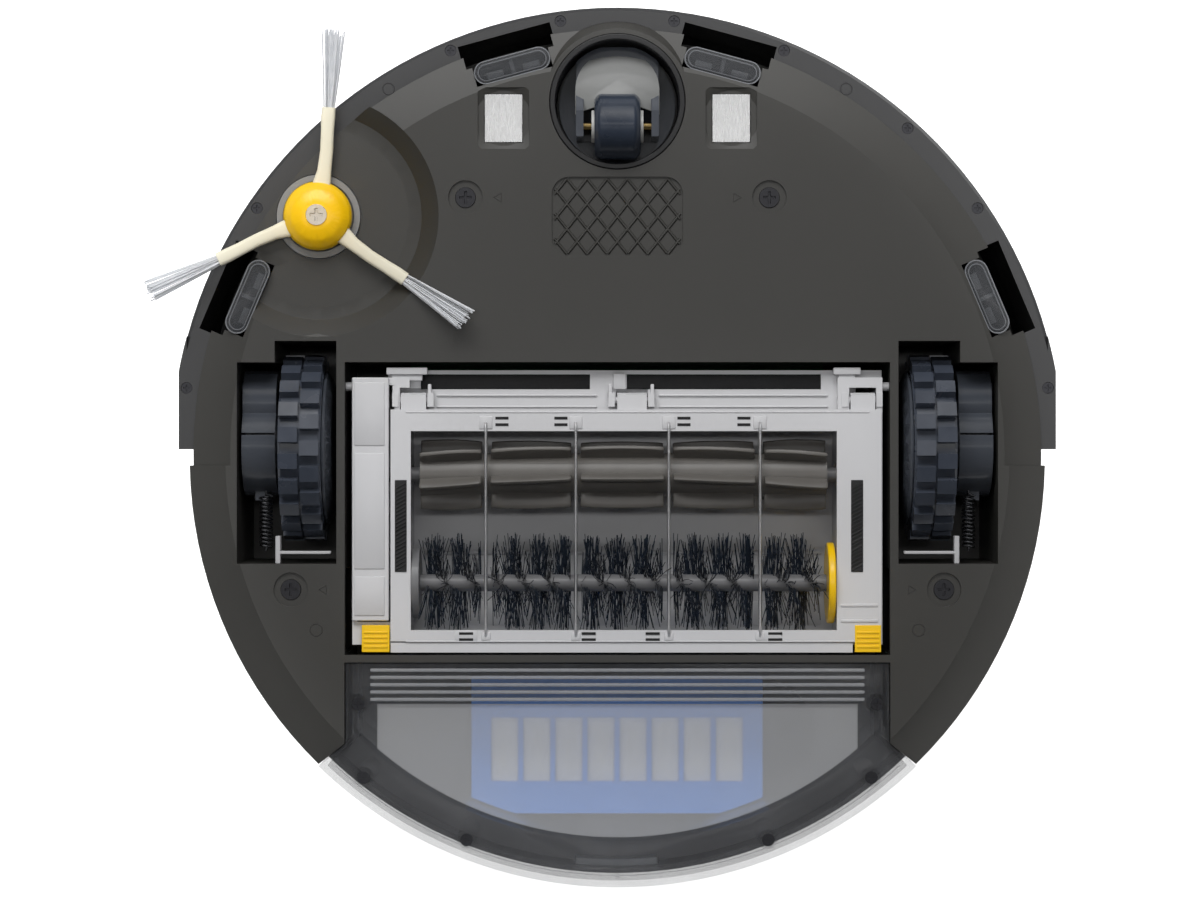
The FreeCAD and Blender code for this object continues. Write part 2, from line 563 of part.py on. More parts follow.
def brush_shaft(y, core_radius):
    core = rod_x(core_radius, cavity_left + 3, cavity_right - 3, y, brush_z)
    ends = rod_x(shaft_radius, gear_x1 - 1, mouth_x[1] + 7.6, y, brush_z)
    return [core, ends]


nodes["beater_shaft"] = fused(brush_shaft(beater_y, 6.0) + [beater_gear])
blades = rod_x(9.0, cavity_left + 3.2, cavity_right - 3.2, beater_y, brush_z)
vanes = []
for k in range(6):
    vane = box(cavity_left + 3.2, cavity_right - 3.2, beater_y - 1.1, beater_y + 1.1,
               brush_z + 8, brush_z + beater_radius)
    vane.rotate(vec(0, beater_y, brush_z), vec(1, 0, 0), 30 + 60 * k)
    vanes.append(vane)
notches = [rod_x(40, x - 2.2, x + 2.2, beater_y, brush_z).cut(rod_x(9.0, x - 3, x + 3, beater_y, brush_z))
           for x in wire_x]
blades = blades.fuse(vanes).cut(notches).cut(rod_x(6.0, -200, 200, beater_y, brush_z))
nodes["beater_blades"] = blades
left_cap = rod_x(14.0, cavity_left, cavity_left + 3, bristle_y, brush_z)
nodes["bristle_shaft"] = fused(brush_shaft(bristle_y, 3.4) + [bristle_gear, left_cap])
edges = [cavity_left + 3.4] + [x + d for x in wire_x for d in (-2.2, 2.2)] + [cavity_right - 3.6]
sleeves = []
for x0, x1 in zip(edges[0::2], edges[1::2]):
    star = [rod_x(8.0, x0, x1, bristle_y, brush_z)]
    for k in range(4):
        fin = box(x0, x1, bristle_y - fin_half, bristle_y + fin_half, brush_z + 6, brush_z + bristle_radius)
        fin.rotate(vec(0, bristle_y, brush_z), vec(1, 0, 0), 45 + 90 * k)
        star.append(fin)
    sleeves.append(fused(star).cut(rod_x(3.4, -200, 200, bristle_y, brush_z)))
nodes["bristle_tufts"] = Part.makeCompound(sleeves)
nodes["bristle_end_cap"] = rod_x(16.2, cavity_right - 3, cavity_right, bristle_y, brush_z).cut(
    rod_x(shaft_radius, 0, 200, bristle_y, brush_z))

# ---- brush guard ----------------------------------------------------------------------------

guard_low, guard_high = under + 0.2, under + 2.9
outer = box(mouth_x[0] - 8.0, hw - 0.6, mouth_y[0] - 8.6, mouth_y[1] + 4.4, guard_low, guard_high)
inner = box(mouth_x[0], mouth_x[1], mouth_y[0], mouth_y[1], 0, 60)
lugs = []
for x0, x1 in hinge_lugs:
    lugs.append(rod_x(3.0, x0, x1, hinge_y, hinge_z))
    lugs.append(box(x0, x1, hinge_y - 2.2, mouth_y[0] - 8, guard_low + 1.2, hinge_z - 0.8))
    lugs.append(rod_x(1.5, x0 - gap - 2.5, x1 + gap + 2.5, hinge_y, hinge_z))
guard = fused([outer] + lugs).cut(inner)
wire_z = under + 1.5
wire_y = (mouth_y[0] - 3.5, mouth_y[1] + 2.5)
cuts = [rod_y(wire_radius, wire_y[0], wire_y[1], x, wire_z) for x in wire_x]
grip_places = ((mouth_x[0] - 6.3, mouth_x[0] - 1.6), (mouth_x[1] + 5.6, mouth_x[1] + 10.4))
grip_y = (10.7, 47.2)
for x0, x1 in grip_places:
    cuts.append(box(x0, x1, grip_y[0], grip_y[1], 0, guard_low + 1.0))
nodes["brush_guard"] = guard.cut(cuts).removeSplitter()
nodes["guard_wires"] = Part.makeCompound(
    [rod_y(wire_radius, wire_y[0], wire_y[1], x, wire_z) for x in wire_x])
nodes["guard_grips"] = Part.makeCompound(
    [box(x0, x1, grip_y[0], grip_y[1], guard_low - 0.4, guard_low + 1.0) for x0, x1 in grip_places])
tabs = []
for x0, x1 in ((-101.4, -90.4), (94.2, 104.6)):
    tongue = box(x0, x1, mouth_y[1] - 2, head_back_y - 0.2, guard_low - 0.4, guard_high - 0.6)
    tabs.append(tongue.cut(outer))
nodes["guard_tabs"] = Part.makeCompound(tabs)

# ---- dust bin -------------------------------------------------------------------------------

bin_low = under + 0.4
outer_radius = body_radius - 0.1
tray = bin_prism(0, outer_radius, bin_low, bin_floor_height, bin_front_y)
rim_room = bin_prism(4.4, outer_radius - 4.4, bin_low + 2.2, bin_low + 4.6, bin_front_y - 5)
room = bin_prism(bin_wall, outer_radius - bin_wall, bin_low + 4.5, bin_floor_height + 1, bin_front_y - 5)
bin_bosses = ((103.0, 99.6), (100.8, 128.8), (59.9, 153.6))
posts = []
for x, y in bin_bosses:
    posts += [rod_z(4.0, bin_low + 1, bin_floor_height - 1, sx * x, y) for sx in (-1, 1)]
arc_wall = tube_z(body_radius - 22.0, body_radius - 24.0, bin_low + 2, bin_floor_height, 0, 6.0)
arc_wall = arc_wall.common(box(-bin_half_width + 3, bin_half_width - 3, 104, 300, 0, 200))
rear_rib = box(-1, 1, body_radius - 17.9, outer_radius - 1, bin_low + 2, bin_low + 20)
tray = fused([tray.cut([rim_room, room])] + posts + [arc_wall, rear_rib])
tray = tray.common(bin_prism(0, outer_radius, bin_low, bin_floor_height, bin_front_y))
screw_cuts = []
for x, y in bin_bosses:
    for sx in (-1, 1):
        screw_cuts.append(rod_z(2.6, 0, bin_low + 1.4, sx * x, y))
        screw_cuts.append(rod_z(1.2, 0, bin_low + 12, sx * x, y))
nodes["bin_screws"] = Part.makeCompound(
    [screw(sx * x, y, bin_low + 0.3, 2.5, 1.1, 1.2, 9) for x, y in bin_bosses for sx in (-1, 1)])
bar_x = bin_half_width - 9.5
bar = box(-bar_x, bar_x, bin_front_y + 0.6, bin_front_y + 16, bin_low + 2.2, bin_low + 8.2)
bar = bar.cut(box(-bar_x + 1.5, bar_x - 1.5, bin_front_y + 2, bin_front_y + 14.6, bin_low + 3.4, bin_low + 7))
nodes["bin_tray"] = fused([tray, bar]).cut(screw_cuts).removeSplitter()
lens_arc = body_radius - 24.3
window_plate = rod_z(lens_arc, bin_low + 2.2, bin_low + 3.2, 0, 6.0)
window_plate = window_plate.common(box(-95, 95, bin_front_y + 16.4, 300, 0, 200))
boss_room = [rod_z(4.2, 0, 60, sx * x, y) for x, y in bin_bosses for sx in (-1, 1)]
nodes["bin_window"] = window_plate.cut(boss_room)
filter_low = under + 27.0
half_filter = 59.0
filter_y = (bin_front_y + 7.5, body_radius - 24.5)
frame = box(-half_filter, half_filter, filter_y[0], filter_y[1], filter_low, filter_low + 14)
frame = frame.common(rod_z(body_radius - 24.6, 0, 200, 0, 6.0))
media_room = box(-half_filter + 5, half_filter - 5, filter_y[0] + 14, filter_y[1] - 10,
                 filter_low + 3, filter_low + 20)
slot_count = 8
slot_pitch = (2 * half_filter - 14) / slot_count
slots = []
for k in range(slot_count):
    x = -half_filter + 7 + slot_pitch * (k + 0.5)
    half_slot = slot_pitch / 2 - 1
    slots.append(box(x - half_slot, x + half_slot, filter_y[0] + 16, filter_y[1] - 13, 0, 200))
nodes["filter_frame"] = frame.cut([media_room] + slots).removeSplitter()
nodes["filter_media"] = media_room.common(box(-400, 400, -400, 400, filter_low + 3, filter_low + 11))
lid = bin_prism(0, outer_radius, bin_floor_height, bumper_high, bin_front_y)
lid_room = bin_prism(bin_wall, outer_radius - bin_wall, bin_floor_height - 1, bumper_high - bin_wall,
                     bin_front_y + bin_wall)
button_half, button_low = 17.0, bumper_high - 14
button_hole = box(-button_half - 0.4, button_half + 0.4, 140, 400, button_low - 0.4, button_low + 8.4)
nodes["bin_lid"] = lid.cut([lid_room, button_hole])
button = tube_z(outer_radius - 0.2, outer_radius - 5, button_low, button_low + 8, 0, body_centre_y)
nodes["bin_release_button"] = button.common(box(-button_half, button_half, 140, 400, 0, 200))
nodes["bin_fan_motor"] = rod_z(19, bin_floor_height - 1.6, bumper_high - 2.2, 62, bin_front_y + 30)

# ---- parts inside the body ------------------------------------------------------------------

battery_y = (caster_y + 35, head_bay_y[0] - 3.5)
nodes["battery_pack"] = box(-54, 54, battery_y[0], battery_y[1], floor_high, floor_high + 34)
board_z = max(head_top + 14, 62)
nodes["circuit_board"] = box(-85, 85, battery_y[0], 30, board_z, board_z + 1.6)
board_posts = [rod_z(3, board_z + 1.6, cover_under, x, y)
               for x in (-80, 80) for y in (battery_y[0] + 5, 25)]

# ---- top cover and controls -----------------------------------------------------------------

skirt_radius = bumper_radius - 4.4
skirt = turned([(0, cover_under), (skirt_radius - 5.6, cover_under), (skirt_radius - 5.6, cover_low),
                (skirt_radius - 0.6, cover_low), (skirt_radius, cover_low + 1),
                (skirt_radius - 1.6, body_height - 3), (skirt_radius - 6, body_height - 0.5),
                (skirt_radius - 12, body_height), (0, body_height)])
rear_skirt = turned([(0, cover_under), (body_radius - plate, cover_under), (body_radius - plate, cover_low),
                     (body_radius - 0.4, cover_low), (body_radius, cover_low + 1),
                     (body_radius - 1.6, body_height - 3), (body_radius - 6, body_height - 0.5),
                     (body_radius - 12, body_height), (0, body_height)], 0, body_centre_y)
top = front_of(skirt).fuse(back_of(rear_skirt))
top = fused([top] + board_posts)
panel_radius = 62.0
deck = 1.2
ring_in, ring_out = panel_radius + 36, panel_radius + 44
handle_in, handle_out = panel_radius + 6, panel_radius + 22
handle_spread = 0.69


def front_sector(apex_y):
    reach = 150.0
    width = handle_spread * reach
    return prism([(0, apex_y), (-width, apex_y - reach), (width, apex_y - reach)], 0, 200)


scoop = tube_z(handle_out + 14, handle_in, body_height - 13, body_height + 1).common(front_sector(2))
scoop_shell = tube_z(handle_out + 16, handle_in - 2, body_height - 15, cover_under + 0.5)
scoop_shell = scoop_shell.common(front_sector(8))
handle_pin_y, handle_pin_z = -(panel_radius - 2), body_height - 2.4
handle_pin_x = -handle_spread * (2 + handle_pin_y)
handle_pin = rod_x(1.6, handle_pin_x - 8, handle_pin_x + 3, handle_pin_y, handle_pin_z)
pin_bore = rod_x(1.6 + running_gap, handle_pin_x - 9, handle_pin_x + 3.2, handle_pin_y, handle_pin_z)
deck_z = body_height - deck
cuts = [rod_z(panel_radius + 0.2, deck_z, 200), tube_z(ring_out, ring_in, deck_z, 200), scoop]
button_places = {"clean_button": (0.0, 0.0, 21.0), "spot_button": (-36.0, 20.0, 8.5),
                 "dock_button": (36.0, 20.0, 8.5)}
for x, y, r in button_places.values():
    cuts.append(rod_z(r + 0.4, body_height - 10, 200, x, y))
dome_y = -(front_wall_radius - 14)
cuts.append(rod_z(11.2, body_height - 1.4, 200, 0, dome_y))
cuts += [pin_bore, mirrored(pin_bore)]
top = fused([top, scoop_shell]).cut(cuts)
nodes["trim_ring"] = tube_z(ring_out - 0.1, ring_in + 0.1, body_height - deck, body_height + 0.4)
panel = rod_z(panel_radius, body_height - deck, body_height + 0.6)
nodes["control_panel"] = panel.cut([rod_z(r + 0.4, 0, 200, x, y) for x, y, r in button_places.values()])
for name, (x, y, r) in button_places.items():
    cap = rod_z(r, body_height - 2.4, body_height + 1.6, x, y)
    nodes[name] = fused([cap, rod_z(2.0, body_height - 8, body_height - 2.4, x, y)])
nodes["infrared_dome"] = turned([(0, body_height - 1.4), (11, body_height - 1.4), (11, body_height + 1.0),
                                 (9, body_height + 3.0), (5, body_height + 4.0),
                                  (0, body_height + 4.2)], 0, dome_y)
handle = tube_z(handle_out, handle_in + 3.6, body_height - 7.4, body_height - 0.4).common(front_sector(-4))
nodes["carry_handle"] = fused([handle, handle_pin, mirrored(handle_pin)])
nodes["top_cover"] = top

# ---- files ----------------------------------------------------------------------------------

os.makedirs("parts", exist_ok=True)
for name, shape in nodes.items():
    shape.exportStep("parts/" + name + ".step")
print(len(nodes), "nodes")
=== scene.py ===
import bpy
import bmesh
import json
import math
import random
from mathutils import Matrix, Vector

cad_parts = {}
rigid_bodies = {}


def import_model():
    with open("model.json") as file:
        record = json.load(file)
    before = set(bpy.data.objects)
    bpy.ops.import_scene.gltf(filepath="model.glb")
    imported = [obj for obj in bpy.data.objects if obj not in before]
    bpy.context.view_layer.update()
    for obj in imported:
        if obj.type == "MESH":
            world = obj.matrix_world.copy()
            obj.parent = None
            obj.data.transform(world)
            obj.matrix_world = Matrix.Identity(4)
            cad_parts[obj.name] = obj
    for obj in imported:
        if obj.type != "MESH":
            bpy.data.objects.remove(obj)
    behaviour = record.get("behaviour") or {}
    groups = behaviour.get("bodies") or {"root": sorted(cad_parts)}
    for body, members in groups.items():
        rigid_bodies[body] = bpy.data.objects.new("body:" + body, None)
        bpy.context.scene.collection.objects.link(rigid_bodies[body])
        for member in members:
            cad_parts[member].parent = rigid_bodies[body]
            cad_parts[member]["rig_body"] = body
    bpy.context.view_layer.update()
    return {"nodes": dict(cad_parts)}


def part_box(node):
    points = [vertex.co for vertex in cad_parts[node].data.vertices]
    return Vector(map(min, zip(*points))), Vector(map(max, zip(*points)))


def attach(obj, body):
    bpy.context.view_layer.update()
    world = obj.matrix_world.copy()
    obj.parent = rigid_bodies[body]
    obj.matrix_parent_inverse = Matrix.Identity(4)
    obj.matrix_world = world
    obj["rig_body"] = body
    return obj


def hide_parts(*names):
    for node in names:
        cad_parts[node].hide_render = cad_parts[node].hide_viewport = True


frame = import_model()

mm = 0.001

# ---- Studio --------------------------------------------------------------------------------
# A plain pale room round the robot. The floor is seen only from above and the backdrop only from
# below, so the underside can be looked at straight through the floor, and neither stops any light.


def linear(hex_value):
    """An sRGB hex colour as the linear red, green, blue and alpha that a shader takes."""
    parts = [int(hex_value[k:k + 2], 16) / 255 for k in (1, 3, 5)]
    return [p / 12.92 if p <= 0.04045 else ((p + 0.055) / 1.055) ** 2.4 for p in parts] + [1.0]


def add(tree, kind, settings=None, links=None):
    """Adds one node to a tree, sets its sockets or properties by name, and links its sockets."""
    node = tree.nodes.new(kind)
    for key, value in (settings or {}).items():
        if isinstance(key, int) or key in node.inputs:
            node.inputs[key].default_value = value
        else:
            setattr(node, key, value)
    for key, (source, output) in (links or {}).items():
        tree.links.new(source.outputs[output], node.inputs[key])
    return node


def new_material(name):
    material = bpy.data.materials.new(name)
    material.use_nodes = True
    material.node_tree.nodes.clear()
    return material, material.node_tree


def one_sided(name, colour, glow):
    """Matt studio paper: solid from its front, clear from behind and to every shadow ray. A backdrop that
    glows is seen straight on only, so it throws no light and shows in no reflection."""
    material, tree = new_material(name)
    face = add(tree, "ShaderNodeNewGeometry")
    path = add(tree, "ShaderNodeLightPath")
    hidden = (path, "Is Shadow Ray")
    if glow:
        seen = add(tree, "ShaderNodeMath", {"operation": "SUBTRACT", 0: 1.0}, {1: (path, "Is Camera Ray")})
        hidden = (seen, 0)
    either = add(tree, "ShaderNodeMath", {"operation": "MAXIMUM"}, {0: (face, "Backfacing"), 1: hidden})
    paper = add(tree, "ShaderNodeBsdfPrincipled", {"Base Color": linear(colour), "Roughness": 0.9,
                                                   "Specular IOR Level": 0.0,
                                                   "Emission Color": linear("#ffffff"),
                                                   "Emission Strength": glow})
    clear = add(tree, "ShaderNodeBsdfTransparent")
    mix = add(tree, "ShaderNodeMixShader", {}, {0: (either, 0), 1: (paper, 0), 2: (clear, 0)})
    add(tree, "ShaderNodeOutputMaterial", {}, {"Surface": (mix, 0)})
    return material


def paper_sheet(name, half, height, facing_up, colour, glow):
    corners = [(-half, -half, height), (half, -half, height), (half, half, height), (-half, half, height)]
    mesh = bpy.data.meshes.new(name)
    mesh.from_pydata(corners, [], [(0, 1, 2, 3) if facing_up else (3, 2, 1, 0)])
    sheet = bpy.data.objects.new(name, mesh)
    bpy.context.scene.collection.objects.link(sheet)
    mesh.materials.append(one_sided(name + "_paper", colour, glow))


paper_sheet("floor", 6.0, 0.0, True, "#dcdcdc", 0.0)
paper_sheet("backdrop", 6.0, 0.22, False, "#f4f4f4", 0.62)

world = bpy.data.worlds.new("studio_air")
bpy.context.scene.world = world
world.use_nodes = True
world.node_tree.nodes["Background"].inputs["Color"].default_value = linear("#f6f7f9")
world.node_tree.nodes["Background"].inputs["Strength"].default_value = 0.38


def soft_light(name, place, aim, size, watts):
    data = bpy.data.lights.new(name, "AREA")
    data.shape = "RECTANGLE"
    data.size, data.size_y = size
    data.energy = watts
    light = bpy.data.objects.new(name, data)
    bpy.context.scene.collection.objects.link(light)
    light.location = place
    light.rotation_euler = (Vector(aim) - Vector(place)).to_track_quat("-Z", "Y").to_euler()


soft_light("low_key", (-0.15, -1.05, -0.9), (0, -0.08, 0), (1.2, 0.7), 17)
soft_light("low_left", (-1.25, 0.25, -0.75), (0, 0, 0), (0.5, 1.4), 0.4)
soft_light("low_right", (1.25, 0.2, -0.8), (0, 0, 0), (0.5, 1.4), 0.5)
soft_light("low_rear", (0.0, 1.2, -0.8), (0, 0, 0), (1.4, 0.4), 1.6)
soft_light("low_strip", (0.0, -0.14, -1.45), (0, 0, 0), (1.7, 0.10), 3.2)
soft_light("high_key", (0.9, -1.1, 1.6), (0, 0, 0), (1.0, 1.0), 26)
soft_light("high_fill", (-1.3, 0.9, 1.3), (0, 0, 0), (1.2, 0.8), 13)

view_distance = 1.30
view_width = 0.476
camera_data = bpy.data.cameras.new("camera")
camera_data.sensor_width = 36
camera_data.lens = 36 * view_distance / view_width
camera = bpy.data.objects.new("camera", camera_data)
bpy.context.scene.collection.objects.link(camera)
camera.location = (-6.9 * mm, -1.2 * mm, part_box("bottom_cover")[0].z - view_distance)
camera.rotation_euler = (math.pi, 0, 0)
bpy.context.scene.camera = camera
bpy.context.scene.view_settings.view_transform = "Standard"

# ---- Underside cover and chassis -----------------------------------------------------------
# The large plate under the robot and the tub behind it are injection-moulded ABS in charcoal,
# spark-eroded to a fine matt grain, with small rounded edges. Four screws hold the plate on.


def moulded(name, colour, other, roughness, grain=0.35, depth=0.02, tint=60.0, coat=0.0):
    """Injection-moulded plastic. A fine grain of pits breaks the highlight up; the resin's shade and
    gloss drift slowly over the part. Grain and tint are the sizes of those patterns, in millimetres."""
    material, tree = new_material(name)
    place = add(tree, "ShaderNodeTexCoord")
    cloud = add(tree, "ShaderNodeTexNoise", {"Scale": 1 / (tint * mm), "Detail": 3.0},
                {"Vector": (place, "Object")})
    pits = add(tree, "ShaderNodeTexNoise", {"Scale": 1 / (grain * mm), "Detail": 2.0},
               {"Vector": (place, "Object")})
    shade = add(tree, "ShaderNodeMix", {"data_type": "RGBA", 6: linear(colour), 7: linear(other)},
                {0: (cloud, "Fac")})
    polish = add(tree, "ShaderNodeMapRange", {"To Min": roughness - 0.05, "To Max": roughness + 0.06},
                 {"Value": (pits, "Fac")})
    bump = add(tree, "ShaderNodeBump", {"Strength": 0.6, "Distance": depth * mm}, {"Height": (pits, "Fac")})
    skin = add(tree, "ShaderNodeBsdfPrincipled", {"IOR": 1.53, "Coat Weight": coat, "Coat Roughness": 0.08},
               {"Base Color": (shade, 2), "Roughness": (polish, 0), "Normal": (bump, 0)})
    add(tree, "ShaderNodeOutputMaterial", {}, {"Surface": (skin, 0)})
    return material


def smooth_by_angle(mesh, degrees=32):
    mesh.polygons.foreach_set("use_smooth", [True] * len(mesh.polygons))
    mesh.set_sharp_from_angle(angle=math.radians(degrees))
    mesh.update()


def dress(piece, material, body, replaced=()):
    """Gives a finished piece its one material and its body."""
    piece.data.materials.clear()
    piece.data.materials.append(material)
    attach(piece, body)
    if replaced:
        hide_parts(*replaced)
    return piece


def solid(piece):
    """Runs a piece's modifiers and keeps the result as its plain mesh."""
    bpy.context.view_layer.update()
    evaluated = piece.evaluated_get(bpy.context.evaluated_depsgraph_get())
    mesh = bpy.data.meshes.new_from_object(evaluated)
    piece.modifiers.clear()
    piece.data = mesh
    return piece


def linked(name, mesh):
    piece = bpy.data.objects.new(name, mesh)
    bpy.context.scene.collection.objects.link(piece)
    return piece


def rounded(node, edge, material, angle=40, segments=2, smooth=30):
    """A node's own shape as one clean skin, with its facets merged and its sharp edges rounded."""
    work = bmesh.new()
    work.from_mesh(frame["nodes"][node].data)
    bmesh.ops.remove_doubles(work, verts=work.verts, dist=0.000005)
    bmesh.ops.dissolve_limit(work, angle_limit=math.radians(0.4), verts=work.verts, edges=work.edges)
    mesh = bpy.data.meshes.new(node + "_skin")
    work.to_mesh(mesh)
    work.free()
    piece = linked(node + "_skin", mesh)
    if edge:
        bevel = piece.modifiers.new("edge", "BEVEL")
        bevel.width = edge * mm
        bevel.segments = segments
        bevel.limit_method = "ANGLE"
        bevel.angle_limit = math.radians(angle)
        bevel.use_clamp_overlap = True
        solid(piece)
    smooth_by_angle(piece.data, smooth)
    weighted = piece.modifiers.new("flats", "WEIGHTED_NORMAL")
    weighted.keep_sharp = True
    solid(piece)
    return dress(piece, material, frame["nodes"][node]["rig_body"], (node,))


charcoal = moulded("charcoal_abs", "#33322f", "#3a3936", 0.42, grain=0.55, depth=0.035)
rounded("bottom_cover", 0.45, charcoal, angle=15, smooth=12)
rounded("chassis_base", 0.4, charcoal, smooth=14)
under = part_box("bottom_cover")[0].z


def middle(node):
    low_corner, high_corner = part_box(node)
    return (low_corner + high_corner) / 2


def rod_tree():
    """Sweeps a round section along every edge path of a mesh. Its inputs are the rod's radius and sides."""
    tree = bpy.data.node_groups.new("rods_along_paths", "GeometryNodeTree")
    face = tree.interface
    face.new_socket(name="Geometry", in_out="INPUT", socket_type="NodeSocketGeometry")
    face.new_socket(name="Radius", in_out="INPUT", socket_type="NodeSocketFloat")
    face.new_socket(name="Sides", in_out="INPUT", socket_type="NodeSocketInt")
    face.new_socket(name="Finish", in_out="INPUT", socket_type="NodeSocketMaterial")
    face.new_socket(name="Geometry", in_out="OUTPUT", socket_type="NodeSocketGeometry")
    given = add(tree, "NodeGroupInput")
    line = add(tree, "GeometryNodeMeshToCurve", {}, {"Mesh": (given, "Geometry")})
    section = add(tree, "GeometryNodeCurvePrimitiveCircle", {},
                  {"Resolution": (given, "Sides"), "Radius": (given, "Radius")})
    rod = add(tree, "GeometryNodeCurveToMesh", {"Fill Caps": True},
              {"Curve": (line, 0), "Profile Curve": (section, 0)})
    real = add(tree, "GeometryNodeRealizeInstances", {}, {"Geometry": (rod, 0)})
    finish = add(tree, "GeometryNodeSetMaterial", {}, {"Geometry": (real, 0), "Material": (given, "Finish")})
    add(tree, "NodeGroupOutput", {}, {"Geometry": (finish, 0)})
    return tree


rod_nodes = rod_tree()


def rods(name, paths, radius, sides, material, body, replaced=(), closed=False):
    """Round rods, wires or filaments along lists of points, as one piece. Radius is in millimetres."""
    points = []
    edges = []
    for path in paths:
        first = len(points)
        points += [tuple(p) for p in path]
        edges += [(k, k + 1) for k in range(first, len(points) - 1)]
        if closed:
            edges.append((len(points) - 1, first))
    mesh = bpy.data.meshes.new(name)
    mesh.from_pydata(points, edges, [])
    piece = linked(name, mesh)
    sweep = piece.modifiers.new("sweep", "NODES")
    sweep.node_group = rod_nodes
    for item in rod_nodes.interface.items_tree:
        if item.in_out == "INPUT" and item.name in ("Radius", "Sides", "Finish"):
            sweep[item.identifier] = {"Radius": radius * mm, "Sides": sides, "Finish": material}[item.name]
    solid(piece)
    smooth_by_angle(piece.data, 60 if sides > 5 else 80)
    return dress(piece, material, body, replaced)


def circle(centre, radius, count=40, turn=0.0):
    """Points on a flat ring, in millimetres about a centre in millimetres."""
    x, y, z = centre
    angles = [turn + 2 * math.pi * k / count for k in range(count)]
    return [Vector((x + radius * math.cos(a), y + radius * math.sin(a), z)) * mm for a in angles]


# Four locating marks, each a small raised triangle beside its screw, and two moulding rings.
under_mm = under / mm
cover_screw_places = [(-60.3, -101.4, 1), (60.3, -101.4, -1), (-129.6, 54.2, 1), (129.6, 54.2, -1)]
marks = [circle((x + 13.2 * way, y, under_mm), 2.0, 3, math.pi if way > 0 else 0.0)
         for x, y, way in cover_screw_places]
marks += [circle((x, 70.2, under_mm), 2.4, 30) for x in (-119.5, 119.5)]
rods("cover_marks", marks, 0.22, 6, charcoal, "chassis", closed=True)

# The finger pad in front of the brushes is a shallow pocket crossed by raised diamond ribs.
caster_centre = middle("caster_socket") / mm
pad_y = caster_centre.y + 45.6
pad_half = (25.2, 14.9)
pad_corner = 6.0
rib_spacing = 10.0
rib_rise = 1.25
ribs = []
for lean in (-1, 1):
    for step in range(-6, 7):
        shift = step * rib_spacing
        ends = []
        for k in range(201):
            x = -pad_half[0] + 2 * pad_half[0] * k / 200
            y = lean * rib_rise * x + shift
            corner = math.hypot(max(0, abs(x) - pad_half[0] + pad_corner),
                                max(0, abs(y) - pad_half[1] + pad_corner))
            if abs(y) <= pad_half[1] and corner < pad_corner:
                ends.append((x, y))
        if len(ends) > 3:
            ribs.append([Vector((x, pad_y + y, under_mm + 0.95)) * mm for x, y in (ends[0], ends[-1])])
rods("pad_ribs", ribs, 0.62, 8, charcoal, "chassis")

# ---- Screws --------------------------------------------------------------------------------
# Cross-head self-tapping screws in black oxide, cold-headed and thread-rolled. Wear on the oxide
# leaves the recess edges a little bright.


def metal(name, colour, roughness, streak=None, scale=0.4):
    """Bare or plated metal. Streak stretches the brushing along one axis."""
    material, tree = new_material(name)
    place = add(tree, "ShaderNodeTexCoord")
    stretch = add(tree, "ShaderNodeMapping", {"Scale": streak or (1, 1, 1)}, {"Vector": (place, "Object")})
    lines = add(tree, "ShaderNodeTexNoise", {"Scale": 1 / (scale * mm), "Detail": 2.0},
                {"Vector": (stretch, 0)})
    polish = add(tree, "ShaderNodeMapRange", {"To Min": roughness * 0.7, "To Max": roughness * 1.4},
                 {"Value": (lines, "Fac")})
    bump = add(tree, "ShaderNodeBump", {"Strength": 0.3, "Distance": 0.01 * mm}, {"Height": (lines, "Fac")})
    skin = add(tree, "ShaderNodeBsdfPrincipled", {"Base Color": linear(colour), "Metallic": 1.0},
               {"Roughness": (polish, 0), "Normal": (bump, 0)})
    add(tree, "ShaderNodeOutputMaterial", {}, {"Surface": (skin, 0)})
    return material


black_oxide = metal("black_oxide_steel", "#414144", 0.36, scale=0.8)
for node in ("cover_screws", "bumper_screws", "bin_screws"):
    rounded(node, 0.12, black_oxide)

# ---- Charging contacts and cliff sensors ---------------------------------------------------
# Two nickel-plated plates that rest on a dock's pins, brushed lengthwise, and four clear
# polycarbonate lenses over infrared drop sensors, each with two cells and a black body behind it.

nickel = metal("brushed_nickel", "#f4f4f4", 0.25, streak=(1, 0.05, 1), scale=0.25)
rounded("charging_contacts", 0.25, nickel)


def clear_plastic(name, colour, alpha, edge_alpha, roughness):
    """Tinted clear plastic in thin walls: see-through face on, and denser at a glancing angle, where a
    painted sheen also turns its colour toward a mid grey.
    """
    material, tree = new_material(name)
    place = add(tree, "ShaderNodeTexCoord")
    swirl = add(tree, "ShaderNodeTexNoise", {"Scale": 1 / (25 * mm), "Detail": 2.0},
                {"Vector": (place, "Object")})
    facing = add(tree, "ShaderNodeLayerWeight", {"Blend": 0.35})
    # Painted sheen: where the wall is seen at a glancing angle its colour turns toward a fixed mid grey
    # (#8d8f92), driven by the view-dependent Facing weight.
    glancing_sheen_shade = add(tree, "ShaderNodeMix", {"data_type": "RGBA", 6: linear(colour), 7: linear("#8d8f92")},
                     {0: (facing, "Facing")})
    veil = add(tree, "ShaderNodeMapRange", {"To Min": alpha, "To Max": edge_alpha},
               {"Value": (facing, "Facing")})
    drift = add(tree, "ShaderNodeMath", {"operation": "MULTIPLY_ADD", 1: 0.10, 2: -0.05}, {0: (swirl, "Fac")})
    total = add(tree, "ShaderNodeMath", {"operation": "ADD"}, {0: (veil, 0), 1: (drift, 0)})
    wave = add(tree, "ShaderNodeBump", {"Strength": 0.15, "Distance": 0.05 * mm}, {"Height": (swirl, "Fac")})
    skin = add(tree, "ShaderNodeBsdfPrincipled", {"Roughness": roughness, "IOR": 1.58, "Coat Weight": 0.5,
                                                  "Coat Roughness": 0.05},
               {"Base Color": (glancing_sheen_shade, 2), "Alpha": (total, 0), "Normal": (wave, 0)})
    add(tree, "ShaderNodeOutputMaterial", {}, {"Surface": (skin, 0)})
    return material


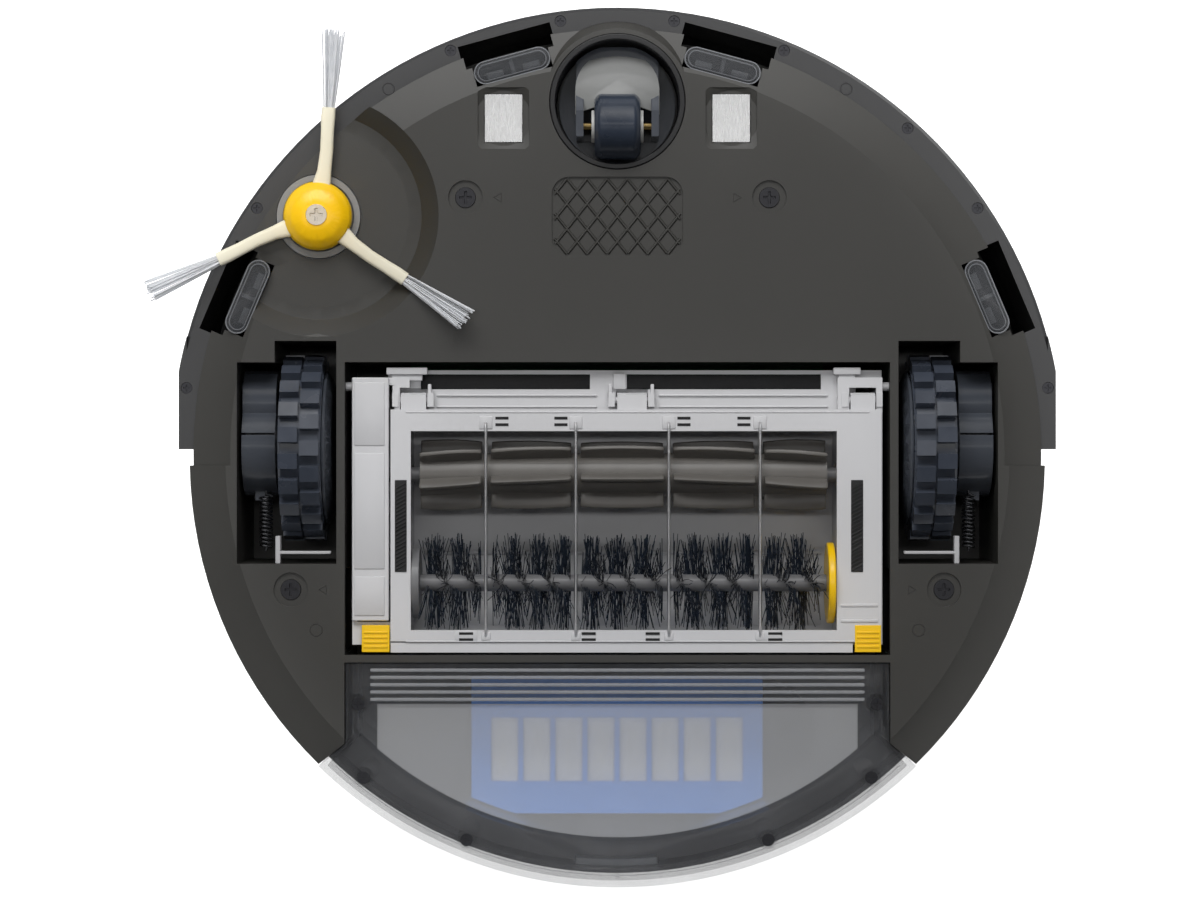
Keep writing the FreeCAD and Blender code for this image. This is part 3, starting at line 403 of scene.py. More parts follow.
lens_clear = clear_plastic("clear_polycarbonate", "#5a5c60", 0.30, 0.75, 0.08)
satin_black = moulded("black_abs", "#131315", "#19191b", 0.34, grain=0.6, depth=0.015)


def from_bmesh(name, work, edge=0.0, segments=2, smooth=30):
    bmesh.ops.recalc_face_normals(work, faces=work.faces)
    mesh = bpy.data.meshes.new(name)
    work.to_mesh(mesh)
    work.free()
    piece = linked(name, mesh)
    if edge:
        bevel = piece.modifiers.new("edge", "BEVEL")
        bevel.width = edge * mm
        bevel.segments = segments
        bevel.limit_method = "ANGLE"
        bevel.angle_limit = math.radians(35)
        solid(piece)
    smooth_by_angle(piece.data, smooth)
    return piece


sensor_radius = 153.6 + 5.8
sensor_turns = [Matrix.Rotation(math.radians(a), 4, "Z") for a in (-67.1, -15.2, 15.2, 67.1)]


def stadium(half_length, half_width, z, count=14):
    """Points round a slot with full-round ends, drawn at the front of the body."""
    points = []
    for side in (1, -1):
        for k in range(count + 1):
            a = math.pi * (k / count - 0.5)
            points.append((side * (half_length - half_width + half_width * math.cos(a)),
                           side * half_width * math.sin(a) - sensor_radius, z))
    return [Vector(p) * mm for p in points]


def stadium_plates(name, half_length, half_width, z0, z1, edge, material, replaced=()):
    work = bmesh.new()
    for turn in sensor_turns:
        low_ring = [work.verts.new(turn @ p) for p in stadium(half_length, half_width, z0)]
        high_ring = [work.verts.new(turn @ p) for p in stadium(half_length, half_width, z1)]
        work.faces.new(low_ring)
        work.faces.new(high_ring[::-1])
        for k in range(len(low_ring)):
            n = (k + 1) % len(low_ring)
            work.faces.new((low_ring[k], low_ring[n], high_ring[n], high_ring[k]))
    return dress(from_bmesh(name, work, edge, smooth=50), material, "chassis", replaced)


stadium_plates("cliff_sensor_windows", 15.4, 4.5, under_mm + 1.7, under_mm + 2.9, 0.4, lens_clear,
               ("cliff_sensor_lenses",))
stadium_plates("cliff_sensor_backs", 15.2, 4.3, under_mm + 4.6, under_mm + 6.2, 0.2, satin_black)
rims = [[turn @ p for p in stadium(half, wide, under_mm + deep)] for turn in sensor_turns
        for half, wide, deep in ((15.3, 4.4, 1.7), (13.9, 3.2, 2.0))]
rim_grey = moulded("lens_rim_polycarbonate", "#77797d", "#808286", 0.12, grain=2.0, depth=0.002, coat=0.5)
rods("cliff_sensor_rims", rims, 0.32, 8, rim_grey, "chassis", closed=True)
work = bmesh.new()
for turn in sensor_turns:
    for x, wide, long in ((0.0, 0.9, 3.4), (-7.4, 3.4, 1.3), (7.4, 3.4, 1.3)):
        place = Matrix.Translation(Vector((x, -sensor_radius + (0 if x == 0 else 1.4), under_mm + 3.8)) * mm)
        bmesh.ops.create_cube(work, size=1.0, matrix=turn @ place @ Matrix.Diagonal(
            (2 * wide * mm, 2 * long * mm, 1.6 * mm, 1)))
dress(from_bmesh("cliff_sensor_eyes", work, 0.3), rim_grey, "chassis")

# ---- Bumper --------------------------------------------------------------------------------
# A sprung half-ring of tougher ABS round the front, moulded in one piece, with a dark infrared
# window of acrylic across its face.

bumper_grey = moulded("bumper_abs", "#2b2b2c", "#313132", 0.36, grain=0.5, depth=0.03)
rounded("bumper_shell", 0.5, bumper_grey, smooth=20)
window_black = moulded("infrared_acrylic", "#0b0b0d", "#101014", 0.12, grain=2.0, depth=0.002, coat=0.6)
rounded("bumper_window", 0.2, window_black)
bumper_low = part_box("bumper_shell")[0].z / mm
rings = [circle((x, -145.3, bumper_low), 2.3, 30) for x in (-91.3, 91.3)]
rods("bumper_marks", rings, 0.25, 6, bumper_grey, "bumper", closed=True)

# ---- Drive wheels --------------------------------------------------------------------------
# Each wheel is a black hub with a two-row lugged tyre in hard rubber, carried by a glossy gear
# case that swings down on a pivot, against a coil spring hooked between the case and the chassis.


def rubber(name, colour, other, roughness, grain=0.5, depth=0.03, coat=0.0):
    """Moulded rubber: a soft broad highlight, with dust and bloom that lightens it in patches."""
    material, tree = new_material(name)
    place = add(tree, "ShaderNodeTexCoord")
    bloom = add(tree, "ShaderNodeTexNoise", {"Scale": 1 / (9 * mm), "Detail": 4.0},
                {"Vector": (place, "Object")})
    fine = add(tree, "ShaderNodeTexNoise", {"Scale": 1 / (grain * mm), "Detail": 2.0},
               {"Vector": (place, "Object")})
    shade = add(tree, "ShaderNodeMix", {"data_type": "RGBA", 6: linear(colour), 7: linear(other)},
                {0: (bloom, "Fac")})
    polish = add(tree, "ShaderNodeMapRange", {"To Min": roughness - 0.08, "To Max": roughness + 0.1},
                 {"Value": (bloom, "Fac")})
    bump = add(tree, "ShaderNodeBump", {"Strength": 0.5, "Distance": depth * mm}, {"Height": (fine, "Fac")})
    skin = add(tree, "ShaderNodeBsdfPrincipled", {"IOR": 1.52, "Coat Weight": coat, "Coat Roughness": 0.15},
               {"Base Color": (shade, 2), "Roughness": (polish, 0), "Normal": (bump, 0)})
    add(tree, "ShaderNodeOutputMaterial", {}, {"Surface": (skin, 0)})
    return material


tread = rubber("tread_rubber", "#3b404a", "#4a505c", 0.24, coat=0.7)
gloss_black = moulded("gloss_abs", "#41454c", "#4c5058", 0.14, grain=1.5, depth=0.004, tint=30, coat=0.5)
spring_steel = metal("spring_steel", "#6e6f72", 0.25)
soft_grey = moulded("bracket_abs", "#bcbcbe", "#c4c4c6", 0.4, grain=0.6, depth=0.02)
for side in ("left", "right"):
    rounded(side + "_tyre", 0.55, tread, angle=30, segments=3)
    rounded(side + "_wheel_hub", 0.5, gloss_black)
    rounded(side + "_gear_case", 1.6, gloss_black, segments=4, smooth=40)
    low_corner, high_corner = [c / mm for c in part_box(side + "_wheel_spring")]
    centre = (low_corner + high_corner) / 2
    turns, steps, coil_radius, hook_length = 13, 13 * 16, 2.35, 1.2
    helix = []
    for k in range(steps + 1):
        angle = 2 * math.pi * turns * k / steps
        y = low_corner.y + 2.2 + (high_corner.y - low_corner.y - 3.8) * k / steps
        helix.append(Vector((centre.x + coil_radius * math.cos(angle), y,
                             centre.z + coil_radius * math.sin(angle))) * mm)
    front_hook = [Vector((centre.x, low_corner.y + t, centre.z)) * mm for t in (0.0, hook_length)]
    rear_hook = [Vector((centre.x, high_corner.y - t, centre.z)) * mm for t in (hook_length, 0.0)]
    rods(side + "_coil_spring", [front_hook + helix + rear_hook], 0.5, 8, spring_steel, "chassis",
         (side + "_wheel_spring",))
rounded("wheel_stop_brackets", 0.3, soft_grey)

# ---- Caster --------------------------------------------------------------------------------
# A small trailing wheel under a glossy hood. The fork turns in a deep round socket, and the
# wheel, rubber on a pale nylon hub, runs on a bright axle.

rounded("caster_socket", 0.4, satin_black, smooth=25)
axle = middle("caster_axle") / mm
hood_half_width = 16.4
hood_front, hood_back = caster_centre.y - 21.0, axle.y - 8.5
work = bmesh.new()
columns, rows = 28, 18
grid = []
for r in range(rows + 1):
    v = r / rows
    line = []
    for c in range(columns + 1):
        u = 2 * c / columns - 1
        width = hood_half_width * math.sqrt(max(0.0, 1 - (1 - min(1.0, v / 0.62)) ** 2))
        x = u * max(width, 1.2)
        y = hood_front + (hood_back - hood_front) * v + 3.5 * v * u * u
        z = 24.5 - 14.5 * math.sin(v * math.pi / 2) + 5.5 * u * u * v
        line.append(work.verts.new(Vector((x, y, z)) * mm))
    grid.append(line)
for r in range(rows):
    for c in range(columns):
        work.faces.new((grid[r][c], grid[r][c + 1], grid[r + 1][c + 1], grid[r + 1][c]))
hood = from_bmesh("caster_hood", work, smooth=60)
thick = hood.modifiers.new("wall", "SOLIDIFY")
thick.thickness = 1.4 * mm
thick.offset = 0
solid(hood)
smooth_by_angle(hood.data, 50)
hood_grey = moulded("hood_abs", "#868786", "#8e8f8e", 0.2, grain=1.5, depth=0.004, coat=0.5)
dress(hood, hood_grey, "caster_swivel")
rounded("caster_fork", 0.8, gloss_black, segments=3)
brass = metal("turned_brass", "#c9ad74", 0.2)
rounded("caster_axle", 0.3, brass)
pale_nylon = moulded("pale_nylon", "#c9c9c6", "#d2d2cf", 0.4, grain=0.6)
rounded("caster_hub", 0.3, pale_nylon)
caster_rubber = rubber("caster_rubber", "#2b323e", "#353d4b", 0.28, coat=0.5)
rounded("caster_tyre", 0.8, caster_rubber, segments=3)

# ---- Side brush ----------------------------------------------------------------------------
# A yellow hub with three cream arms of soft plastic. Each arm grips a fan of clear nylon
# filaments, splayed and drooping to the floor. One steel screw holds it to its drive.

yellow = moulded("yellow_acetal", "#ffcb00", "#ffd20a", 0.30, grain=0.8, depth=0.012, coat=0.15)
cream = rubber("cream_elastomer", "#e9e3cc", "#f1ecd8", 0.5, depth=0.02)
bright_steel = metal("bright_steel", "#e9e9ea", 0.22)
grey_collar = moulded("drive_collar_abs", "#7d7e80", "#868789", 0.32)
rounded("side_brush_gearbox", 0.4, grey_collar)
rounded("side_brush_hub", 0.7, yellow, segments=3, smooth=40)
rounded("side_brush_screw", 0.15, bright_steel)
hub_centre = middle("side_brush_hub") / mm
arm_angles = [math.radians(a) for a in (-82.5, 37.5, 157.5)]
arm_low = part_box("side_brush_arms")[0].z / mm


def swept(work, path, widths, heights, sides=12):
    """Adds a bar with rounded section to a mesh in the making, with a width and height at each point."""
    rings = []
    for k, point in enumerate(path):
        ahead = path[min(k + 1, len(path) - 1)] - path[max(k - 1, 0)]
        across = Vector((-ahead.y, ahead.x, 0)).normalized()
        ring = []
        for s in range(sides):
            a = 2 * math.pi * (s + 0.5) / sides
            c, d = math.cos(a), math.sin(a)
            wide = widths[k] / 2 * math.copysign(abs(c) ** 0.6, c)
            tall = heights[k] / 2 * math.copysign(abs(d) ** 0.6, d)
            ring.append(work.verts.new((point + across * wide + Vector((0, 0, tall))) * mm))
        rings.append(ring)
    for one, two in zip(rings, rings[1:]):
        for s in range(sides):
            work.faces.new((one[s], one[(s + 1) % sides], two[(s + 1) % sides], two[s]))
    work.faces.new(rings[0][::-1])
    work.faces.new(rings[-1])


work = bmesh.new()
filaments = []
draw = random.Random(11)
for angle in arm_angles:
    along = Vector((math.cos(angle), math.sin(angle), 0))
    across = Vector((-along.y, along.x, 0))
    foot = Vector((hub_centre.x, hub_centre.y, arm_low + 1.6))
    bend = [(9.6, 0, 0), (13, 0, 0), (18, 0.3, 0), (26, 0.2, -0.1), (34, -0.5, -0.4), (39, -0.9, -0.7),
            (43, -1.1, -1.0)]
    path = [foot + along * r + across * side + Vector((0, 0, drop)) for r, side, drop in bend]
    swept(work, path, [7.6, 7.2, 5.6, 5.2, 5.2, 5.6, 5.4], [3.2, 3.2, 3.1, 3.0, 3.0, 3.1, 2.9])
    root, aim = path[-1], along * 0.995 - across * 0.06
    for k in range(46):
        spread = draw.uniform(-1, 1)
        start = root + across * spread * 2.0 + Vector((0, 0, draw.uniform(-0.9, 0.9))) - aim * 1.0
        length = draw.uniform(28.5, 31.5)
        fan = spread * 0.085 + draw.uniform(-0.02, 0.02)
        points = []
        for j in range(5):
            t = j / 4
            droop = Vector((0, 0, -1.0 - 8.6 * t ** 1.4 + draw.uniform(-0.2, 0.2)))
            points.append(start + (aim + across * fan) * length * t + droop + Vector((0, 0, 1.0)))
        filaments.append([p * mm for p in points])
arms = from_bmesh("side_brush_moulded_arms", work, smooth=50)
dress(arms, cream, "side_brush", ("side_brush_arms",))


def nylon(name, colour, alpha, roughness):
    """Drawn nylon filament: two colours mixed in patches by noise, where the second, lighter one is a painted
    highlight (glints).
    """
    material, tree = new_material(name)
    place = add(tree, "ShaderNodeTexCoord")
    glint_patches = add(tree, "ShaderNodeTexNoise", {"Scale": 1 / (3 * mm)}, {"Vector": (place, "Object")})
    shade = add(tree, "ShaderNodeMix", {"data_type": "RGBA", 6: linear(colour[0]), 7: linear(colour[1])},
                {0: (glint_patches, "Fac")})
    skin = add(tree, "ShaderNodeBsdfPrincipled", {"Roughness": roughness, "IOR": 1.53, "Alpha": alpha},
               {"Base Color": (shade, 2)})
    add(tree, "ShaderNodeOutputMaterial", {}, {"Surface": (skin, 0)})
    return material


# The whiter second colour is a painted highlight on the clear filaments.
clear_nylon = nylon("clear_nylon", ("#dfe2e7", "#f6f7f9"), 0.85, 0.22)
rods("side_brush_filaments", filaments, 0.25, 4, clear_nylon, "side_brush",
     ("side_brush_bristles",))

# ---- Cleaning head -------------------------------------------------------------------------
# A light grey ABS frame that floats on a hinge at its front edge and carries the two brushes.
# It holds the brush gearbox on its left and has clips, latches and air slots along its rails.

light_grey = moulded("light_grey_abs", "#cdcdcf", "#d5d5d7", 0.38, grain=0.5, depth=0.02, tint=80)
rounded("head_frame", 0.35, light_grey)
rounded("head_gearbox_cover", 0.6, light_grey, segments=3)
rounded("brush_bearings", 0.2, brass)
head_low, head_high = [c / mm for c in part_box("head_frame")]


def block(work, x0, x1, y0, y1, z0, z1):
    size = Vector((x1 - x0, y1 - y0, z1 - z0)) * mm
    place = Matrix.Translation(Vector((x0 + x1, y0 + y1, z0 + z1)) * mm / 2)
    bmesh.ops.create_cube(work, size=1.0, matrix=place @ Matrix.Diagonal((*size, 1)))


work = bmesh.new()
back = head_low.y
for x0, x1 in ((-91.8, -75.6), (85.9, 96.7)):
    block(work, x0, x1, back - 1.0, back + 1.8, under_mm + 2.4, under_mm + 7)
    block(work, x0 + 2, x1 - 2, back + 1.8, back + 4.2, under_mm + 3.4, under_mm + 7.4)
for x0, x1 in ((-89.5, -74.0), (-3.5, 14.6), (88.6, 104.8)):
    block(work, x0, x0 + 1.4, back + 5.6, back + 11.5, under_mm + 3.4, under_mm + 7.4)
    block(work, x1 - 1.4, x1, back + 5.6, back + 11.5, under_mm + 3.4, under_mm + 7.4)
block(work, -1.6, 3.4, back + 1.2, back + 7.6, under_mm + 5.6, under_mm + 7.3)
for x0, x1 in ((-72.0, -8.0), (16.5, 84.0)):
    block(work, x0, x1, back + 9.6, back + 10.4, under_mm + 6.2, under_mm + 7.2)
    block(work, x0, x1, back + 14.2, back + 14.9, under_mm + 6.4, under_mm + 7.2)
for x0, x1, y0, y1 in ((-104.4, -92.4, -28.0, -3.0), (-104.4, -92.4, 0.0, 46.0), (-104.4, -92.4, 49.0, 64.5)):
    block(work, x0, x1, y0, y1, under_mm + 0.35, under_mm + 1.4)
for x0, x1, y0, y1 in ((88.5, 103.5, -5.0, 8.0), (100.4, 104.8, 12.0, 56.0), (88.8, 104.0, 60.5, 66.5)):
    block(work, x0, x1, y0, y1, under_mm + 1.2, under_mm + 3.4)
details = from_bmesh("head_latches_and_panels", work, 0.35)
dress(details, light_grey, "cleaning_head")
work = bmesh.new()
# Painted shade: deep black blocks set back in the head's rear slot stand for the shade inside it.
for x0, x1 in ((-78.2, -11.1), (4.0, 81.0)):
    block(work, x0, x1, back + 1.8, back + 7.4, under_mm + 8.2, under_mm + 9.2)
slot_shade_black = moulded("painted_slot_shade", "#08080a", "#0d0d10", 0.7, grain=0.9, depth=0.08)
dress(from_bmesh("head_slot_shade", work, 0.2), slot_shade_black, "cleaning_head")

work = bmesh.new()
mouth_left, mouth_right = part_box("bristle_tufts")[0].x / mm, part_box("bristle_tufts")[1].x / mm
hood_z = head_high.z - 2.2
block(work, mouth_left, 12.0, 60.5, 70.0, hood_z - 0.7, hood_z + 0.6)
block(work, 15.0, mouth_right, 60.5, 70.0, hood_z - 0.7, hood_z + 0.6)
block(work, 12.6, 14.0, 42.0, 60.0, hood_z - 0.7, hood_z + 0.6)
dress(from_bmesh("brush_chamber_plate", work, 0.5), light_grey, "cleaning_head")
rib = [[Vector((x, 40.5, hood_z - 0.2)) * mm for x in (mouth_left, mouth_right)]]
rods("brush_chamber_rib", rib, 0.9, 10, light_grey, "cleaning_head")

# ---- Brush guard ---------------------------------------------------------------------------
# A grey frame hinged along the head's front edge. Four steel wires keep rugs off the brushes,
# ribbed rubber pads sit in its side rails, and two yellow tabs latch it at the back.

rounded("brush_guard", 0.5, light_grey, segments=3)
steel_wire = metal("drawn_steel_wire", "#f0f0f1", 0.30, scale=0.3)
wires_low, wires_high = [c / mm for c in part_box("guard_wires")]
wire_x = (-52.2, -16.5, 20.4, 56.6)
wire_z = (wires_low.z + wires_high.z) / 2
wire_paths = []
for x in wire_x:
    y0, y1, z = wires_low.y, wires_high.y, wire_z
    points = [(x, y0, z + 1.0), (x, y0 + 0.3, z - 1.5), (x, y0 + 1.4, z - 2.0), (x, y0 + 3.0, z - 2.0)]
    points += [(x, y0 + 3.0 + (y1 - y0 - 6.0) * k / 8, z - 2.0 + 0.6 * math.sin(math.pi * k / 8))
               for k in range(1, 8)]
    points += [(x, y1 - 3.0, z - 2.0), (x, y1 - 1.4, z - 2.0), (x, y1 - 0.3, z - 1.5), (x, y1, z + 1.0)]
    wire_paths.append([Vector(p) * mm for p in points])
rods("bent_guard_wires", wire_paths, 0.65, 12, steel_wire, "guard", ("guard_wires",))
work = bmesh.new()
rail_front, rail_back = wires_low.y, wires_high.y
for x in wire_x:
    block(work, x - 2.6, x + 2.6, rail_front - 2.4, rail_front + 2.6, under_mm - 0.25, under_mm + 0.6)
    block(work, x - 1.8, x + 1.8, rail_back - 1.6, rail_back + 1.6, under_mm - 0.25, under_mm + 0.6)
for x in (-60.0, 60.4):
    block(work, x - 4.5, x + 4.5, rail_back - 2.6, rail_back + 2.2, under_mm - 0.05, under_mm + 0.6)
for y in (rail_front - 4.4, rail_back + 1.6):
    block(work, -84.0, 100.0, y, y + 0.7, under_mm - 0.1, under_mm + 0.5)
block(work, 88.6, 103.4, 59.8, 61.0, under_mm - 0.2, under_mm + 0.6)
block(work, 88.6, 103.4, 66.0, 67.2, under_mm - 0.2, under_mm + 0.6)
dress(from_bmesh("guard_bosses", work, 0.3), light_grey, "guard")
# Painted shade: deep black blocks in the guard rails' slots stand for the dark openings.
work = bmesh.new()
for x in (-45.8, -22.4, 26.4, 50.2):
    for side in (-1.3, 1.3):
        y = rail_front + side
        block(work, x - 2.6, x + 2.6, y - 0.9, y + 0.2, under_mm + 0.05, under_mm + 0.5)
for x in (-60.0, -11.4, 14.0, 62.6):
    for side in (-1.2, 1.2):
        y = rail_back + side
        block(work, x - 2.8, x + 2.8, y - 0.5, y + 0.5, under_mm - 0.12, under_mm + 0.3)
dress(from_bmesh("guard_slot_shade", work), slot_shade_black, "guard")
black_rubber = rubber("ribbed_rubber", "#0c0c0d", "#141415", 0.55)
rounded("guard_grips", 0.3, black_rubber)
grip_low, grip_high = [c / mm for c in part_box("guard_grips")]
ridges = []
for x0, x1 in ((-88.1, -83.8), (92.9, 97.3)):
    count = 22
    for k in range(count):
        y = grip_low.y + 1.2 + (grip_high.y - grip_low.y - 4.4) * k / (count - 1)
        ridges.append([Vector((x0, y + 2.4, grip_low.z)) * mm, Vector((x1, y, grip_low.z)) * mm])
rods("grip_ridges", ridges, 0.36, 6, black_rubber, "guard")
rounded("guard_tabs", 0.8, yellow, segments=3)
tab_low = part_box("guard_tabs")[0] / mm
work = bmesh.new()
for x0, x1 in ((-100.6, -91.2), (95.0, 103.8)):
    for k in range(4):
        y = tab_low.y + 2.4 + 1.9 * k
        block(work, x0, x1, y, y + 0.9, tab_low.z - 0.35, tab_low.z + 0.4)
dress(from_bmesh("tab_ridges", work, 0.2), yellow, "guard")

# ---- Beater --------------------------------------------------------------------------------
# A dark rubber sleeve with six bowed blades, moulded together and notched where each guard
# wire passes.

beater_rubber = rubber("beater_rubber", "#5d5a56", "#696662", 0.38, grain=0.7)
blade_low, blade_high = [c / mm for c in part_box("beater_blades")]
blade_y, blade_z = (blade_low.y + blade_high.y) / 2, (blade_low.z + blade_high.z) / 2
blade_reach = 14.3
edges = [blade_low.x] + [x + d for x in wire_x for d in (-1.9, 1.9)] + [blade_high.x]
work = bmesh.new()
for x0, x1 in zip(edges[0::2], edges[1::2]):
    for k in range(6):
        lines = []
        for c in range(17):
            t = c / 16
            bow = math.sin(math.pi * t) ** 0.7 if 0 < t < 1 else 0.0
            along = (x0 + (x1 - x0) * t - blade_low.x) / (blade_high.x - blade_low.x)
            angle = math.radians(60 * k + 30) + math.radians(16) * (2 * along - 1) ** 2
            reach = blade_reach - 0.9 * (1 - bow)
            line = []
            for radius, lag in ((7.6, 0.0), (10.5, 0.03), (12.6, 0.08), (reach, 0.15)):
                a = angle + lag
                r = min(radius, reach)
                line.append(work.verts.new(Vector((x0 + (x1 - x0) * t, blade_y + r * math.cos(a),
                                                   blade_z + r * math.sin(a))) * mm))
            lines.append(line)
        for one, two in zip(lines, lines[1:]):
            for j in range(3):
                work.faces.new((one[j], one[j + 1], two[j + 1], two[j]))
vanes = from_bmesh("beater_vanes", work, smooth=60)
wall = vanes.modifiers.new("wall", "SOLIDIFY")
wall.thickness = 1.7 * mm
wall.offset = 0
edge = vanes.modifiers.new("edge", "BEVEL")
edge.width = 0.4 * mm
edge.segments = 2
edge.limit_method = "ANGLE"
edge.angle_limit = math.radians(50)
solid(vanes)
smooth_by_angle(vanes.data, 50)
dress(vanes, beater_rubber, "beater", ("beater_blades",))
sleeve = [[Vector((blade_low.x, blade_y, blade_z)) * mm, Vector((blade_high.x, blade_y, blade_z)) * mm]]
rods("beater_sleeve", sleeve, 8.6, 40, beater_rubber, "beater")
shaft_grey = moulded("shaft_abs", "#6d6d6f", "#767678", 0.4)
rounded("beater_shaft", 0.3, shaft_grey)

# ---- Bristle brush -------------------------------------------------------------------------
# Tufts of black nylon held in a core of two twisted wires, in rows that wind round the core,
# with a grey cap at the gearbox end and a yellow one at the bearing end.

tuft_low, tuft_high = [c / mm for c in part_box("bristle_tufts")]
core_y, core_z = (tuft_low.y + tuft_high.y) / 2, (tuft_low.z + tuft_high.z) / 2
brush_reach = 20.4
core_wire = metal("dark_core_wire", "#8b8d92", 0.24)
twist_pitch = 13.0
row_pitch = 20.8
strands = []
for strand in (0, 1):
    path = []
    count = int((tuft_high.x - tuft_low.x) / 0.9)
    for k in range(count + 1):
        x = tuft_low.x + (tuft_high.x - tuft_low.x) * k / count
        a = 2 * math.pi * (x - tuft_low.x) / twist_pitch + math.pi * strand
        path.append(Vector((x, core_y + 1.7 * math.cos(a), core_z + 1.7 * math.sin(a))) * mm)
    strands.append(path)
rods("twisted_core", strands, 1.6, 10, core_wire, "bristle_brush")
rounded("bristle_shaft", 0.3, shaft_grey)
rounded("bristle_end_cap", 0.8, yellow, segments=3)
draw = random.Random(23)
bristles = []
step = 0.55
for k in range(int((tuft_high.x - tuft_low.x - 5.0) / step)):
    x = tuft_low.x + 2.5 + k * step
    nearest = min(wire_x, key=lambda w: abs(x - w))
    if abs(x - nearest) < 1.8:
        continue
    for half_turn in (0.0, math.pi):
        base = 2 * math.pi * x / row_pitch + half_turn
        for strand in range(4):
            angle = base + draw.gauss(0, 0.22)
            lean = draw.gauss(0, 0.16)
            if abs(x - nearest) < 4.5:
                lean = math.copysign(abs(lean) * 0.5, x - nearest)
            length = brush_reach * draw.uniform(0.86, 1.0) - 2.0
            curl = draw.uniform(-0.14, 0.14)
            points = []
            for j in range(4):
                t = j / 3
                r = 2.0 + length * t * math.cos(lean)
                a = angle + curl * t * t
                px = x + length * t * math.sin(lean) * 0.8
                points.append(Vector((px, core_y + r * math.cos(a), core_z + r * math.sin(a))) * mm)
            bristles.append(points)
# The blue-grey second colour is painted glints on the black nylon.
dark_nylon = nylon("dark_nylon", ("#0b0c0f", "#2c3644"), 1.0, 0.22)
rods("bristle_filaments", bristles, 0.19, 3, dark_nylon, "bristle_brush", ("bristle_tufts",))

# ---- Drive inside the head -----------------------------------------------------------------
# Hidden parts that turn the brushes: a motor sealed in a drawn steel can, and two idler gears
# moulded in acetal.

can_steel = metal("motor_can_steel", "#9b9c9e", 0.35, scale=0.6)
rounded("head_motor", 0.8, can_steel)
acetal = moulded("natural_acetal", "#e6e1d2", "#eeeadd", 0.35)
for node in ("front_idler_gear", "rear_idler_gear"):
    rounded(node, 0.0, acetal)

# ---- Dust bin ------------------------------------------------------------------------------
# A smoky clear polycarbonate tray with a frosted floor, a blue filter frame with pleated fleece
# seen through it, a black lid with the fan motor, and a release button at the back.

smoky = clear_plastic("smoky_polycarbonate", "#8b8c8f", 0.10, 0.42, 0.08)
tray = rounded("bin_tray", 0.45, smoky)


def pane(name, z0, z1, grow, solid_sides):
    """The frosted pane's outline, straight at the front and an arc at the back. Flat, or with sides to
    cut with."""
    x_half, y_front, arc_y, arc_radius = 95.0 + grow, 100.0 - grow, 6.0, 146.2 + grow
    outline = [(x_half, y_front)]
    reach = math.asin(min(1.0, x_half / arc_radius))
    for k in range(61):
        a = reach - 2 * reach * k / 60
        outline.append((arc_radius * math.sin(a), arc_y + arc_radius * math.cos(a)))
    outline.append((-x_half, y_front))
    work = bmesh.new()
    bottom = [work.verts.new(Vector((x, y, z0)) * mm) for x, y in outline]
    work.faces.new(bottom)
    if solid_sides:
        top = [work.verts.new(Vector((x, y, z1)) * mm) for x, y in outline]
        work.faces.new(top[::-1])
        for k in range(len(outline)):
            n = (k + 1) % len(outline)
            work.faces.new((bottom[k], top[k], top[n], bottom[n]))
    return from_bmesh(name, work)


cutter = pane("pane_cutter", under_mm - 1, under_mm + 4.4, 0.0, True)
opening = tray.modifiers.new("opening", "BOOLEAN")
opening.operation = "DIFFERENCE"
opening.object = cutter
opening.solver = "EXACT"
solid(tray)
bpy.data.objects.remove(cutter)
tray_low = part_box("bin_tray")[0] / mm
frosted, tree = new_material("frosted_polycarbonate")
place = add(tree, "ShaderNodeTexCoord")
frost_grain = add(tree, "ShaderNodeTexNoise", {"Scale": 1 / (0.5 * mm)}, {"Vector": (place, "Object")})
frost_drift = add(tree, "ShaderNodeTexNoise", {"Scale": 1 / (60 * mm)}, {"Vector": (place, "Object")})
milk = add(tree, "ShaderNodeMapRange", {"To Min": 0.34, "To Max": 0.44}, {"Value": (frost_drift, "Fac")})
frost_bump = add(tree, "ShaderNodeBump", {"Strength": 0.5, "Distance": 0.04 * mm},
                 {"Height": (frost_grain, "Fac")})
skin = add(tree, "ShaderNodeBsdfPrincipled",
           {"Base Color": linear("#d9dadc"), "Roughness": 0.55, "IOR": 1.58},
           {"Alpha": (milk, 0), "Normal": (frost_bump, 0)})
add(tree, "ShaderNodeOutputMaterial", {}, {"Surface": (skin, 0)})
dress(pane("frosted_pane", under_mm + 1.2, 0, 0.4, False), frosted, "dust_bin",
      ("bin_window",))
blue = moulded("blue_abs", "#4f93ee", "#5a9cf4", 0.35)
rounded("filter_frame", 0.3, blue)
fleece, tree = new_material("pleated_fleece")
place = add(tree, "ShaderNodeTexCoord")
fibres = add(tree, "ShaderNodeTexNoise", {"Scale": 1 / (0.7 * mm), "Detail": 4.0},
             {"Vector": (place, "Object")})
pleats = add(tree, "ShaderNodeTexWave", {"Scale": 1 / (6.0 * mm) / math.pi, "bands_direction": "X"},
             {"Vector": (place, "Object")})
fibre_shade = add(tree, "ShaderNodeMix", {"data_type": "RGBA", 6: linear("#d9dadb"), 7: linear("#f6f6f4")},
                  {0: (fibres, "Fac")})
relief = add(tree, "ShaderNodeMath", {"operation": "ADD"}, {0: (fibres, "Fac"), 1: (pleats, "Fac")})
fleece_bump = add(tree, "ShaderNodeBump", {"Strength": 0.6, "Distance": 0.3 * mm}, {"Height": (relief, 0)})
